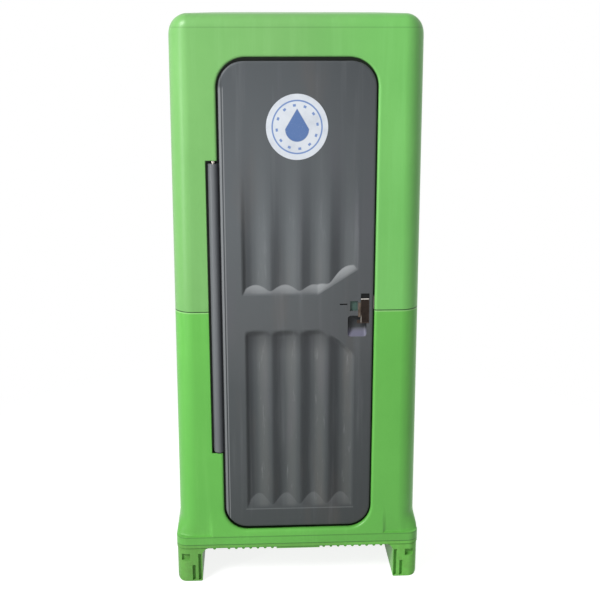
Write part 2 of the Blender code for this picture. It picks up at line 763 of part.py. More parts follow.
def rod_hole():
    """The blind holes that hold the hinge rod's two ends."""
    low = NOTCH_BOTTOM_Z - ROD_BITE
    high = NOTCH_TOP_Z + ROD_BITE
    return turned("cut_rod_hole", ((low, ROD_RADIUS + GAP), (high, ROD_RADIUS + GAP)),
                  (HINGE_X, HINGE_Y, 0), "z", sides=SMALL_SIDES)


def keeper_slot():
    """The slot in the upper jamb that takes the lock bolt; it opens below at the seam."""
    clear = BOLT_HOLE_CLEAR
    slot = box("cut_bolt_slot",
               (OPENING_WIDTH / 2 - JAMB_WALL, BOLT_FRONT_Y - clear, SEAM_Z),
               (OPENING_WIDTH / 2 + BOLT_TRAVEL, BOLT_BACK_Y + clear,
                BOLT_Z + BOLT_HEIGHT / 2 + clear))
    flange = box("cut_flange_gap",
                 (OPENING_WIDTH / 2 + JAMB_WALL, BOLT_FRONT_Y - clear, SEAM_Z),
                 (OPENING_WIDTH / 2 + BOLT_TRAVEL, LIP_BACK_Y, SEAM_Z + FLANGE_THICKNESS + clear))
    return slot, flange


def vent_holes():
    """The two side vent openings and the round way out of the vent pipe."""
    half_length = SIDE_VENT_LENGTH / 2 - SIDE_VENT_BORDER
    half_height = SIDE_VENT_HEIGHT / 2 - SIDE_VENT_BORDER
    side = box("cut_side_vents",
               (-BODY_WIDTH, -half_length, SIDE_VENT_Z - half_height),
               (BODY_WIDTH, half_length, SIDE_VENT_Z + half_height))
    hole = PIPE_RADIUS + PIPE_HOLE_CLEAR
    rear = turned("cut_pipe_exit", ((0, hole), (BODY_DEPTH, hole)),
                  (PIPE_X, PIPE_Y, PIPE_TOP_Z), "y")
    return side, rear


def seam_bolt_places():
    """Where the seam bolts stand: two on each side and two at the back."""
    inset = WALL + FLANGE_WIDTH / 2
    side = half_width(SEAM_Z) - inset
    rear = back_y(SEAM_Z) - inset
    along = BODY_DEPTH * SEAM_BOLT_SHARE
    across = BODY_WIDTH * SEAM_BOLT_SHARE
    return ((-side, -along), (-side, along), (side, -along), (side, along),
            (-across, rear), (across, rear))


def seam_bolt_holes():
    """A hole through both flanges for each seam bolt."""
    holes = []
    reach = 2 * FLANGE_THICKNESS
    radius = SEAM_BOLT_RADIUS + SEAM_BOLT_CLEAR
    for number, (x, y) in enumerate(seam_bolt_places(), 1):
        holes.append(turned(f"cut_seam_bolt_{number}", ((-reach, radius), (reach, radius)),
                            (x, y, SEAM_Z), "z", sides=SMALL_SIDES))
    return holes


def half_space(name, low_z, high_z):
    """A block wider than the cabin between two heights."""
    return box(name, (-BASE_WIDTH, -BASE_DEPTH, low_z), (BASE_WIDTH, BASE_DEPTH, high_z))


def make_shells(green):
    """The two half shells, cut from one form and parted at the seam."""
    cavity = cabin_cavity()
    frame = jamb_frame("join_jamb")
    flare = panel_flare()
    channel = hinge_channel()
    doorway, way_in = doorway_cutters()
    notch, hole = hinge_notch(), rod_hole()
    side_vents, pipe_exit = vent_holes()
    bolt_holes = seam_bolt_holes()
    above = half_space("keep_above", SEAM_Z + GAP, CABIN_HEIGHT + OVERRUN)
    below = half_space("keep_below", -OVERRUN, SEAM_Z - GAP)
    upper = cabin_form("upper_shell", green)
    lower = cabin_form("lower_shell", green)
    for shell in (upper, lower):
        cut(shell, cavity)
        join(shell, frame, channel, flare)
        cut(shell, doorway, way_in, notch, hole, *bolt_holes)
    cut(upper, *keeper_slot(), side_vents, pipe_exit)
    shape(upper, "INTERSECT", above)
    shape(lower, "INTERSECT", below)


def make_seam_bolts(steel):
    """Hexagon bolts through the flanges of the two shells."""
    for number, (x, y) in enumerate(seam_bolt_places(), 1):
        top = FLANGE_THICKNESS + GAP
        bolt = turned(f"seam_bolt_{number}",
                      ((-FLANGE_THICKNESS, SEAM_BOLT_RADIUS), (top, SEAM_BOLT_RADIUS),
                       (top, SEAM_BOLT_HEAD_RADIUS),
                       (top + SEAM_BOLT_HEAD_HEIGHT, SEAM_BOLT_HEAD_RADIUS)),
                      (x, y, SEAM_Z), "z", steel, sides=SECTION_STEPS)
        bolt.data.shade_flat()


def plan_block(name, inset, low_z, high_z):
    """The base's plan shape as a block, drawn in by an inset."""
    outline = body_outline(PALLET_TOP_Z, RIM_STEP - inset, RIM_CORNER_RADIUS - inset)[0]
    return skin(name, [flat_ring(outline, low_z), flat_ring(outline, high_z)])


def rib_bottoms():
    """The pallet's underside from left to right, with half round ribs and a plain middle."""
    line = []
    turn = np.linspace(0, math.pi, RIB_STEPS + 1)
    for number in reversed(range(RIB_COUNT)):
        if number != RIB_MISSING:
            line += rib_arc(-RIB_FIRST_X - number * RIB_PITCH, turn)
    low = PALLET_BOTTOM_Z - RIB_RADIUS
    line += [(-PLAIN_HALF_WIDTH, PALLET_BOTTOM_Z), (-PLAIN_HALF_WIDTH, low),
             (PLAIN_HALF_WIDTH, low), (PLAIN_HALF_WIDTH, PALLET_BOTTOM_Z)]
    for number in range(RIB_COUNT):
        line += rib_arc(RIB_FIRST_X + number * RIB_PITCH, turn)
    return line


def rib_arc(middle, turn):
    """One rib's half round, from left to right."""
    return [(middle - RIB_RADIUS * math.cos(a), PALLET_BOTTOM_Z - RIB_RADIUS * math.sin(a))
            for a in turn]


def make_pallet(green):
    """The deck under the cabin, with ribs that run from front to back."""
    half = BASE_WIDTH / 2 + OVERRUN
    outline = np.array([(-half, PALLET_BOTTOM_Z)] + rib_bottoms()
                       + [(half, PALLET_BOTTOM_Z), (half, PALLET_TOP_Z), (-half, PALLET_TOP_Z)])
    deck = skin("base_pallet", [upright_ring(outline, -BASE_DEPTH), upright_ring(outline, BASE_DEPTH)],
                green)
    shape(deck, "INTERSECT", plan_block("keep_pallet", 0, 0, CABIN_HEIGHT))


def arc(centre, radius, start, end, steps=SECTION_STEPS):
    """Points of an arc between two angles in degrees."""
    turn = np.radians(np.linspace(start, end, steps + 1))
    return [(centre[0] + radius * math.cos(a), centre[1] + radius * math.sin(a)) for a in turn]


def runner_section():
    """A right-hand runner's outline in X and Z: rounded feet and a gusset under the deck."""
    top = PALLET_BOTTOM_Z - GAP
    outer = BASE_WIDTH / 2 - RUNNER_INSET
    inner = RUNNER_INNER_X
    out_r, in_r, gusset = RUNNER_OUTER_RADIUS, RUNNER_INNER_RADIUS, RUNNER_GUSSET
    points = arc((inner + in_r, in_r), in_r, 180, 270, EDGE_STEPS)
    points += arc((outer - out_r, out_r), out_r, 270, 360)
    points += [(outer, top)]
    points += arc((inner - gusset, top - gusset), gusset, 90, 0)
    return np.array(points)


def slot_cutter(name, side, inset, width, low_z, high_z, depth, end):
    """A pocket in one end of a runner, placed from the runner's inner face."""
    near = side * (RUNNER_INNER_X + inset)
    far = side * (RUNNER_INNER_X + inset + width)
    face = end * (BASE_DEPTH / 2)
    inside = end * (BASE_DEPTH / 2 - RUNNER_INSET - depth)
    past = face + end * OVERRUN
    return box(name, (min(near, far), min(inside, past), low_z),
               (max(near, far), max(inside, past), high_z))


def runner_hollow(name, side):
    """The space inside a runner, open at the top, where the deck covers it."""
    near = side * (RUNNER_INNER_X + RUNNER_WALL)
    far = side * (BASE_WIDTH / 2 - RUNNER_INSET - RUNNER_WALL)
    half = BASE_DEPTH / 2 - RUNNER_INSET - RUNNER_OUTER_RADIUS
    return box(name, (min(near, far), -half, RUNNER_WALL),
               (max(near, far), half, PALLET_BOTTOM_Z + OVERRUN))


def make_runner(name, side, green):
    """One full-depth runner with two slots and a window at each end."""
    section = runner_section()
    section[:, 0] *= side
    runner = skin(name, [upright_ring(section, -BASE_DEPTH), upright_ring(section, BASE_DEPTH)],
                  green)
    shape(runner, "INTERSECT", plan_block(f"keep_{name}", RUNNER_INSET, -OVERRUN, CABIN_HEIGHT))
    cut(runner, runner_hollow(f"cut_{name}_hollow", side))
    pockets = ((TALL_SLOT_INSET, SLOT_WIDTH, -OVERRUN, TALL_SLOT_HEIGHT, SLOT_DEPTH),
               (SHORT_SLOT_INSET, SLOT_WIDTH, -OVERRUN, SHORT_SLOT_HEIGHT, SLOT_DEPTH),
               (FOOT_WINDOW_INSET, FOOT_WINDOW_WIDTH, FOOT_WINDOW_BOTTOM_Z,
                FOOT_WINDOW_TOP_Z, FOOT_WINDOW_DEPTH))
    for end in (-1, 1):
        for number, (inset, width, low, high, depth) in enumerate(pockets):
            cut(runner, slot_cutter(f"cut_{name}_{end + 1}_{number}", side, inset, width,
                                    low, high, depth, end))


def make_floor(grey):
    """The floor panel that covers the deck inside the walls."""
    inset = -WALL - FLOOR_SIDE_GAP
    outline = body_outline(FLARE_TOP_Z, inset, CORNER_RADIUS + inset)[0]
    skin("floor_panel", [flat_ring(outline, PALLET_TOP_Z + GAP), flat_ring(outline, FLOOR_TOP_Z)],
         grey)


def tank_ring(z, inset):
    """The tank's outline at height z, whose front leans out towards the top."""
    lean = (TANK_TOP_Z - z) / TANK_HEIGHT * TANK_FRONT_SLOPE
    half = half_width(TANK_TOP_Z) - WALL - TANK_SIDE_GAP - inset
    low = (-half, TANK_FRONT_TOP_Y + lean + inset)
    high = (half, back_y(TANK_TOP_Z) - WALL - TANK_BACK_GAP - inset)
    front = max(TANK_RADIUS - inset, TANK_EDGE_RADIUS / 2)
    rear = CORNER_RADIUS - WALL - TANK_BACK_GAP - inset
    return flat_ring(rounded_outline(low, high, (front, rear, rear, front))[0], z)


def oval(half_x, half_y, centre_y, exponent=2.0, sides=SEAT_SIDES):
    """A rounded oval in X and Y, squarer where its exponent is over two."""
    turn = np.arange(sides) * 2 * math.pi / sides
    c, s = np.cos(turn), np.sin(turn)
    x = half_x * np.sign(c) * np.abs(c) ** (2 / exponent)
    y = centre_y + half_y * np.sign(s) * np.abs(s) ** (2 / exponent)
    return np.column_stack((x, y))


def make_tank(black):
    """The waste tank: a hollow bench with a bowl opening, a vent port and a drain port."""
    edge = TANK_EDGE_RADIUS
    rings = [tank_ring(TANK_BOTTOM_Z, 0)]
    for step in range(EDGE_STEPS + 1):
        turn = step / EDGE_STEPS * math.pi / 2
        rings.append(tank_ring(TANK_TOP_Z - edge * (1 - math.sin(turn)),
                               edge * (1 - math.cos(turn))))
    tank = skin("waste_tank", rings, black, smooth=True)
    hollow = skin("cut_tank_hollow", [tank_ring(TANK_BOTTOM_Z + TANK_WALL, TANK_WALL),
                                      tank_ring(TANK_TOP_Z - edge, TANK_WALL),
                                      tank_ring(TANK_TOP_Z - TANK_WALL, edge)])
    hole = oval(BOWL_HALF_WIDTH, BOWL_HALF_LENGTH, BOWL_CENTRE_Y)
    collar = oval(BOWL_HALF_WIDTH + TANK_WALL, BOWL_HALF_LENGTH + TANK_WALL, BOWL_CENTRE_Y)
    low = TANK_TOP_Z - BOWL_COLLAR_HEIGHT
    cut(tank, hollow)
    join(tank, skin("join_bowl_collar", [flat_ring(collar, low),
                                         flat_ring(collar, TANK_TOP_Z - TANK_WALL / 2)]))
    cut(tank, skin("cut_bowl", [flat_ring(hole, low - OVERRUN / 2), flat_ring(hole, TANK_TOP_Z + OVERRUN)]))
    port = PIPE_RADIUS + PIPE_HOLE_CLEAR
    cut(tank, turned("cut_vent_port", ((TANK_TOP_Z - OVERRUN, port), (TANK_TOP_Z + OVERRUN, port)),
                     (PIPE_X, PIPE_Y, 0), "z"))
    drain = URINAL_PIPE_RADIUS + GAP
    cut(tank, turned("cut_drain_port", ((TANK_FRONT_TOP_Y - OVERRUN, drain),
                                        (TANK_FRONT_TOP_Y + 2 * OVERRUN, drain)),
                     (urinal_pipe_x(), 0, URINAL_PIPE_Z), "y", sides=SMALL_SIDES))


def knuckle(name, x, extra=0.0):
    """A round hinge knuckle about the seat's axis."""
    half = KNUCKLE_WIDTH / 2
    return turned(name, ((x - half, KNUCKLE_RADIUS + extra), (x + half, KNUCKLE_RADIUS + extra)),
                  (0, SEAT_AXIS_Y, SEAT_AXIS_Z), "x", sides=SMALL_SIDES)


def pin_hole(name):
    """The hole for the seat's hinge pin."""
    reach = SEAT_PIN_HALF_LENGTH + OVERRUN
    radius = SEAT_PIN_RADIUS + GAP
    return turned(name, ((-reach, radius), (reach, radius)), (0, SEAT_AXIS_Y, SEAT_AXIS_Z), "x",
                  sides=SMALL_SIDES)


def make_seat_brackets(grey, steel):
    """Two brackets on the tank and the pin that they hold."""
    half = KNUCKLE_WIDTH / 2
    foot = TANK_TOP_Z + GAP
    section = [(SEAT_AXIS_Y - KNUCKLE_RADIUS, foot), (SEAT_AXIS_Y + KNUCKLE_RADIUS, foot)]
    section = np.array(section + arc((SEAT_AXIS_Y, SEAT_AXIS_Z), KNUCKLE_RADIUS, 0, 180,
                                     SMALL_SIDES // 2))
    for name, side in (("seat_bracket_left", -1), ("seat_bracket_right", 1)):
        x = side * BRACKET_X
        rings = [np.column_stack((np.full(len(section), place), section))
                 for place in (x - half, x + half)]
        bracket = skin(name, rings, grey)
        cut(bracket, pin_hole(f"cut_{name}"))
    turned("seat_hinge_pin", ((-SEAT_PIN_HALF_LENGTH, SEAT_PIN_RADIUS),
                              (SEAT_PIN_HALF_LENGTH, SEAT_PIN_RADIUS)),
           (0, SEAT_AXIS_Y, SEAT_AXIS_Z), "x", steel, sides=SMALL_SIDES)


def make_seat(black, rubber):
    """The seat ring, its two lugs and its four bumpers."""
    bottom = TANK_TOP_Z + GAP + BUMPER_HEIGHT + GAP
    top = bottom + SEAT_THICKNESS
    inset = SEAT_THICKNESS / 3
    rows = []
    for grow, z in ((0, bottom), (0, top - inset), (-inset, top)):
        rows.append(flat_ring(oval(SEAT_HALF_WIDTH + grow, SEAT_HALF_LENGTH + grow,
                                   BOWL_CENTRE_Y, SEAT_EXPONENT), z))
    for grow, z in ((inset, top), (0, top - inset), (0, bottom)):
        rows.append(flat_ring(oval(SEAT_HOLE_HALF_WIDTH + grow, SEAT_HOLE_HALF_LENGTH + grow,
                                   BOWL_CENTRE_Y), z))
    seat = skin("seat_ring", rows, black, closed=True, smooth=True)
    half = KNUCKLE_WIDTH / 2
    for side in (-1, 1):
        x = side * SEAT_LUG_X
        join(seat, box(f"join_seat_arm_{side + 1}",
                       (x - half, SEAT_AXIS_Y - LUG_REACH, SEAT_AXIS_Z - SEAT_LUG_DROP + GAP),
                       (x + half, SEAT_AXIS_Y, SEAT_AXIS_Z + SEAT_LUG_RISE)),
             knuckle(f"join_seat_knuckle_{side + 1}", x))
    cut(seat, pin_hole("cut_seat_pin_hole"))
    axis = pivot("seat_axis", (0, SEAT_AXIS_Y, SEAT_AXIS_Z))
    carry(axis, seat)
    number = 0
    for share in BUMPER_Y_SHARES:
        for side in (-1, 1):
            number += 1
            bumper = turned(f"seat_bumper_{number}", ((0, BUMPER_RADIUS), (BUMPER_HEIGHT, BUMPER_RADIUS)),
                            (side * BUMPER_X, BOWL_CENTRE_Y + share * 2 * SEAT_HALF_LENGTH,
                             TANK_TOP_Z + GAP), "z", rubber, sides=SMALL_SIDES)
            carry(axis, bumper)


def make_lid(black):
    """The seat lid, modelled shut over the seat and then swung up on its axis."""
    low = LID_LIFT
    centre = BOWL_CENTRE_Y - SEAT_AXIS_Y
    margin = LID_MARGIN
    rows = []
    for grow, z in ((0, low), (margin / 2, low + LID_THICKNESS / 2), (0, low + LID_THICKNESS)):
        rows.append(flat_ring(oval(SEAT_HALF_WIDTH + grow, SEAT_HALF_LENGTH + grow, centre,
                                   SEAT_EXPONENT), z))
    dome = oval(SEAT_HALF_WIDTH / 2, SEAT_HALF_LENGTH / 2, centre, SEAT_EXPONENT)
    rows.append(flat_ring(dome, low + LID_THICKNESS + LID_DOME))
    lid = skin("seat_lid", rows, black, smooth=True)
    half = KNUCKLE_WIDTH / 2
    axis = pivot("lid_axis", (0, SEAT_AXIS_Y, SEAT_AXIS_Z), (-math.radians(LID_OPEN_DEG), 0, 0))
    for side in (-1, 1):
        x = side * LID_LUG_X
        arm = box(f"join_lid_arm_{side + 1}", (x - half, -LUG_REACH, low),
                  (x + half, 0, low + LID_THICKNESS))
        round_end = turned(f"join_lid_knuckle_{side + 1}",
                           ((x - half, KNUCKLE_RADIUS), (x + half, KNUCKLE_RADIUS)),
                           (0, 0, 0), "x", sides=SMALL_SIDES)
        arm.parent = axis
        round_end.parent = axis
        join(lid, arm, round_end)
    hole = turned("cut_lid_pin_hole", ((-SEAT_PIN_HALF_LENGTH, SEAT_PIN_RADIUS + GAP),
                                       (SEAT_PIN_HALF_LENGTH, SEAT_PIN_RADIUS + GAP)),
                  (0, 0, 0), "x", sides=SMALL_SIDES)
    hole.parent = axis
    lid.parent = axis
    cut(lid, hole)


def pipe_path():
    """The vent pipe's middle line, up from the tank and out through the back wall."""
    return bent_path(((PIPE_X, PIPE_Y, TANK_TOP_Z - PIPE_DIP), (PIPE_X, PIPE_Y, PIPE_TOP_Z),
                      (PIPE_X, back_y(PIPE_TOP_Z), PIPE_TOP_Z)), PIPE_BEND)


def make_vents(grey, green):
    """The vent pipe, its clips, and the grilles in the back and side walls."""
    bent_pipe("vent_pipe", pipe_path(), PIPE_RADIUS, PIPE_RADIUS - PIPE_WALL, (1, 0, 0), grey)
    make_clip("vent_clip_lower", TANK_TOP_Z + CLIP_Z_SHARES[0] * (SEAM_Z - TANK_TOP_Z), grey)
    make_clip("vent_clip_upper", SEAM_Z + CLIP_Z_SHARES[1] * (PIPE_TOP_Z - SEAM_Z), grey)
    low = PIPE_TOP_Z - GRILLE_RADIUS
    grille = turned("rear_vent_grille", ((0, GRILLE_RADIUS), (GRILLE_THICKNESS / 2, GRILLE_RADIUS),
                                         (GRILLE_THICKNESS, GRILLE_RADIUS - GRILLE_THICKNESS / 2)),
                    (PIPE_X, back_y(low) + GAP, PIPE_TOP_Z), "y", grey)
    for number in range(GRILLE_SLOT_COUNT):
        z = PIPE_TOP_Z + (number - (GRILLE_SLOT_COUNT - 1) / 2) * GRILLE_SLOT_PITCH
        half = math.sqrt(PIPE_RADIUS ** 2 - (z - PIPE_TOP_Z) ** 2)
        cut(grille, box(f"cut_grille_{number}", (PIPE_X - half, 0, z - GRILLE_SLOT_HEIGHT / 2),
                        (PIPE_X + half, BASE_DEPTH, z + GRILLE_SLOT_HEIGHT / 2)))
    for name, side in (("side_vent_left", -1), ("side_vent_right", 1)):
        make_side_vent(name, side, green)


def make_clip(name, z, grey):
    """One pipe clip: a collar round the vent pipe and a foot on the back wall."""
    half = CLIP_BLOCK_WIDTH / 2
    collar = PIPE_RADIUS + GAP + CLIP_WALL
    clip = turned(name, ((0, collar), (CLIP_HEIGHT, collar)), (PIPE_X, PIPE_Y, z), "z", grey)
    join(clip, box(f"join_{name}", (PIPE_X - half, PIPE_Y, z),
                   (PIPE_X + half, back_y(z + CLIP_HEIGHT) - WALL - GAP, z + CLIP_HEIGHT)))
    cut(clip, turned(f"cut_{name}", ((-OVERRUN, PIPE_RADIUS + GAP), (2 * OVERRUN, PIPE_RADIUS + GAP)),
                     (PIPE_X, PIPE_Y, z), "z"))


def make_side_vent(name, side, green):
    """One louvred plate over a side vent opening."""
    half_height = SIDE_VENT_HEIGHT / 2
    near = half_width(SIDE_VENT_Z - half_height) + GAP
    far = near + SIDE_VENT_THICKNESS
    low_x, high_x = min(side * near, side * far), max(side * near, side * far)
    plate = box(name, (low_x, -SIDE_VENT_LENGTH / 2, SIDE_VENT_Z - half_height),
                (high_x, SIDE_VENT_LENGTH / 2, SIDE_VENT_Z + half_height), green)
    reach = SIDE_VENT_LENGTH / 2 - 1.5 * SIDE_VENT_BORDER
    for number in range(SIDE_SLOT_COUNT):
        z = SIDE_VENT_Z + (number - (SIDE_SLOT_COUNT - 1) / 2) * SIDE_SLOT_PITCH
        cut(plate, box(f"cut_{name}_{number}",
                       (low_x - OVERRUN, -reach, z - SIDE_SLOT_HEIGHT / 2),
                       (high_x + OVERRUN, reach, z + SIDE_SLOT_HEIGHT / 2)))


def urinal_wall_x():
    """The inner face of the wall that the urinal hangs on."""
    return WALL - half_width(URINAL_TOP_Z)


def urinal_pipe_x():
    """The urinal drain pipe's distance from the middle."""
    return urinal_wall_x() + URINAL_PIPE_INSET


def urinal_rings(inset, low_z):
    """Rings of the urinal's form, inset for its inner side."""
    rings = []
    wall = urinal_wall_x() + GAP + inset
    for height, deep, wide in URINAL_SHARES:
        z = low_z + height * (URINAL_TOP_Z - low_z)
        half = wide * URINAL_HALF_WIDTH - inset
        reach = deep * URINAL_DEPTH - 2 * inset
        radius = min(half, reach) * (1 - URINAL_SHARES[0][1] / 2)
        small = min(half, reach) / 4
        outline = rounded_outline((wall, URINAL_Y - half), (wall + reach, URINAL_Y + half),
                                  (radius, radius, small, small))[0]
        rings.append(flat_ring(outline, z))
    return rings


def make_urinal(white, grey):
    """The urinal bowl and the pipe that drains it into the tank."""
    low = URINAL_TOP_Z - URINAL_HEIGHT
    bowl = skin("urinal_bowl", urinal_rings(0, low), white, smooth=True)
    inside = urinal_rings(URINAL_WALL, low + 2 * URINAL_WALL)
    lifted = inside[-1] + np.array((0, 0, OVERRUN))
    cut(bowl, skin("cut_urinal", inside + [lifted]))
    x = urinal_pipe_x()
    socket_low = low - URINAL_SOCKET_LENGTH
    join(bowl, turned("join_urinal_socket", ((socket_low, URINAL_SOCKET_RADIUS),
                                             (low + URINAL_WALL, URINAL_SOCKET_RADIUS)),
                      (x, URINAL_Y, 0), "z", sides=SMALL_SIDES))
    bore = URINAL_PIPE_RADIUS - URINAL_PIPE_WALL
    cut(bowl, turned("cut_urinal_drain", ((socket_low - OVERRUN, bore), (low + OVERRUN, bore)),
                     (x, URINAL_Y, 0), "z", sides=SMALL_SIDES))
    fit = URINAL_PIPE_RADIUS + GAP
    cut(bowl, turned("cut_urinal_socket", ((socket_low - OVERRUN, fit),
                                           (socket_low + URINAL_SOCKET_DEPTH, fit)),
                     (x, URINAL_Y, 0), "z", sides=SMALL_SIDES))
    path = bent_path(((x, URINAL_Y, socket_low + URINAL_SOCKET_DEPTH - GAP),
                      (x, URINAL_Y, URINAL_PIPE_Z), (x, URINAL_PIPE_END_Y, URINAL_PIPE_Z)),
                     URINAL_PIPE_BEND)
    bent_pipe("urinal_drain_pipe", path, URINAL_PIPE_RADIUS, bore, (1, 0, 0), grey, SMALL_SIDES)


def paper_wall_x():
    """The inner face of the wall behind the paper holder, at its tightest."""
    return half_width(PAPER_Z + HOLDER_PLATE_HEIGHT / 2) - WALL


def make_paper_holder(grey, paper, card):
    """The paper holder, its spindle, and the roll that turns on it."""
    wall = paper_wall_x() - GAP
    x = wall - HOLDER_PLATE_THICKNESS - PAPER_X_SET
    arm_gap = PAPER_WIDTH / 2 + 4 * RUNNING_GAP
    half_height = HOLDER_PLATE_HEIGHT / 2
    reach = arm_gap + HOLDER_ARM_THICKNESS
    holder = box("paper_holder", (wall - HOLDER_PLATE_THICKNESS, PAPER_Y - reach, PAPER_Z - half_height),
                 (wall, PAPER_Y + reach, PAPER_Z + half_height), grey)
    for side in (-1, 1):
        near, far = PAPER_Y + side * arm_gap, PAPER_Y + side * reach
        join(holder, box(f"join_holder_arm_{side + 1}",
                         (x - HOLDER_ARM_HEIGHT / 2, min(near, far), PAPER_Z - HOLDER_ARM_HEIGHT / 2),
                         (wall - HOLDER_PLATE_THICKNESS / 2, max(near, far),
                          PAPER_Z + HOLDER_ARM_HEIGHT / 2)))
    hole = SPINDLE_PIN_RADIUS + GAP
    cut(holder, turned("cut_spindle_holes", ((-reach - OVERRUN, hole), (reach + OVERRUN, hole)),
                       (x, PAPER_Y, PAPER_Z), "y", sides=SMALL_SIDES))
    roller = CORE_RADIUS - CORE_WALL - RUNNING_GAP
    roller_half = PAPER_WIDTH / 2
    turned("paper_spindle", ((-reach, SPINDLE_PIN_RADIUS), (-roller_half, SPINDLE_PIN_RADIUS),
                             (-roller_half, roller), (roller_half, roller),
                             (roller_half, SPINDLE_PIN_RADIUS), (reach, SPINDLE_PIN_RADIUS)),
           (x, PAPER_Y, PAPER_Z), "y", grey, SMALL_SIDES)
    axis = pivot("roll_axis", (x, PAPER_Y, PAPER_Z))
    half = PAPER_WIDTH / 2
    carry(axis, sleeve("paper_core", -half, half, CORE_RADIUS, CORE_RADIUS - CORE_WALL,
                       (x, PAPER_Y, PAPER_Z), "y", card),
          sleeve("paper_roll", -half, half, PAPER_RADIUS, CORE_RADIUS + GAP,
                 (x, PAPER_Y, PAPER_Z), "y", paper))


def make_coat_hook(steel):
    """A hook on the left wall."""
    wall = WALL - half_width(HOOK_Z + HOOK_PLATE_HEIGHT / 2) + GAP
    face = wall + HOOK_PLATE_THICKNESS
    hook = box("coat_hook", (wall, HOOK_Y - HOOK_PLATE_WIDTH / 2, HOOK_Z - HOOK_PLATE_HEIGHT / 2),
               (face, HOOK_Y + HOOK_PLATE_WIDTH / 2, HOOK_Z + HOOK_PLATE_HEIGHT / 2), steel)
    path = bent_path(((wall + HOOK_PLATE_THICKNESS / 2, HOOK_Y, HOOK_Z),
                      (face + HOOK_REACH, HOOK_Y, HOOK_Z),
                      (face + HOOK_REACH, HOOK_Y, HOOK_Z + HOOK_RISE)), HOOK_BEND)
    join(hook, bent_bar("join_hook", path, HOOK_RADIUS, (0, 1, 0)))


def panel_depth(x, left, right, ridge):
    """How far the fluted panel lies behind the door's face, before its ends are shaped."""
    wave = 0.5 - 0.5 * np.cos(2 * math.pi * FLUTE_COUNT * (x - left) / (right - left))
    soft = FLUTE_CREST_SOFTNESS
    wave = (np.sqrt(wave + soft * soft) - soft) / (math.sqrt(1 + soft * soft) - soft)
    edge = np.clip(np.minimum(x - left, right - x) / PANEL_EDGE, 0, 1)
    return (ridge + (FLUTE_DEPTH - ridge) * wave) * edge * edge * (3 - 2 * edge)


def upper_depth(x, z):
    """Depth of the upper flutes, which fade out upwards and end below in scalloped ramps."""
    full = panel_depth(x, UPPER_PANEL_LEFT_X, UPPER_PANEL_RIGHT_X, UPPER_RIDGE_DEPTH)
    fade = np.clip((UPPER_FADE_TOP_Z - z) / (UPPER_FADE_TOP_Z - UPPER_FADE_BOTTOM_Z), 0, 1)
    slope = UPPER_PANEL_RISE / (UPPER_PANEL_BEND_INSET - UPPER_PANEL_RISE_INSET)
    bend = DOOR_RIGHT_X - UPPER_PANEL_BEND_INSET
    line = UPPER_PANEL_BOTTOM_Z + slope * np.maximum(x - bend, 0)
    ramp = (z - line) * FLUTE_DEPTH / UPPER_RAMP
    return np.minimum(full * fade * fade * (3 - 2 * fade), ramp)


def lower_depth(x, z):
    """Depth of the lower flutes, which start under a step and end below in scalloped ramps."""
    full = panel_depth(x, LOWER_PANEL_LEFT_X, LOWER_PANEL_RIGHT_X, LOWER_RIDGE_DEPTH)
    bend = DOOR_RIGHT_X - LOWER_PANEL_BEND_INSET
    along = np.clip((x - bend) / (LOWER_PANEL_BEND_INSET - LOWER_PANEL_DROP_INSET), 0, 1)
    line = LOWER_PANEL_TOP_Z - LOWER_PANEL_DROP * along * along * (2 - along)
    ramp = (z - LOWER_PANEL_BOTTOM_Z) * FLUTE_DEPTH / LOWER_RAMP
    step = (line - z) * FLUTE_DEPTH / LOWER_TOP_WALL
    return np.minimum(np.minimum(full, ramp), step)


def flute_cutter(name, depth, left, right, heights):
    """A block whose far side is the fluted surface, to cut the flutes into the door."""
    xs = np.linspace(left, right, FLUTE_COLUMNS + 1)
    grid_x, grid_z = np.meshgrid(xs, heights)
    deep = np.maximum(depth(grid_x, grid_z), 0)
    far = DOOR_FRONT_Y - FLUTE_SKIM + deep * (1 + FLUTE_SKIM / FLUTE_DEPTH)
    near = np.full_like(far, DOOR_FRONT_Y - OVERRUN)
    rows, columns = grid_x.shape
    back = np.stack((grid_x, far, grid_z), axis=-1).reshape(-1, 3)
    front = np.stack((grid_x, near, grid_z), axis=-1).reshape(-1, 3)
    count = rows * columns
    faces = []
    for row in range(rows - 1):
        for column in range(columns - 1):
            here = row * columns + column
            faces.append((here, here + 1, here + columns + 1, here + columns))
    rim = [column for column in range(columns)]
    rim += [row * columns + columns - 1 for row in range(1, rows)]
    rim += [(rows - 1) * columns + column for column in reversed(range(columns - 1))]
    rim += [row * columns for row in reversed(range(1, rows - 1))]
    for here, there in zip(rim, rim[1:] + rim[:1]):
        faces.append((here, there, count + there, count + here))
    faces.append(tuple(count + here for here in rim))
    return mesh_object(name, np.vstack((back, front)), faces, smooth=True)


def upper_heights():
    """Rows of the upper flutes, close together in the ramps."""
    ramps = np.linspace(UPPER_PANEL_BOTTOM_Z, UPPER_FADE_BOTTOM_Z + UPPER_RAMP, UPPER_ROWS // 2 + 3)
    fade = np.linspace(UPPER_FADE_BOTTOM_Z + UPPER_RAMP, UPPER_FADE_TOP_Z, UPPER_ROWS // 2)
    return np.concatenate((ramps, fade[1:]))


def lower_heights():
    """Rows of the lower flutes, close together in the ramps and under the step."""
    low, high = LOWER_PANEL_BOTTOM_Z, LOWER_PANEL_TOP_Z
    bottom = np.linspace(low, low + LOWER_RAMP, LOWER_ROWS // 3)
    bend = high - LOWER_PANEL_DROP - LOWER_TOP_WALL
    top = np.linspace(bend, high, LOWER_ROWS // 2)
    return np.concatenate((bottom, top))


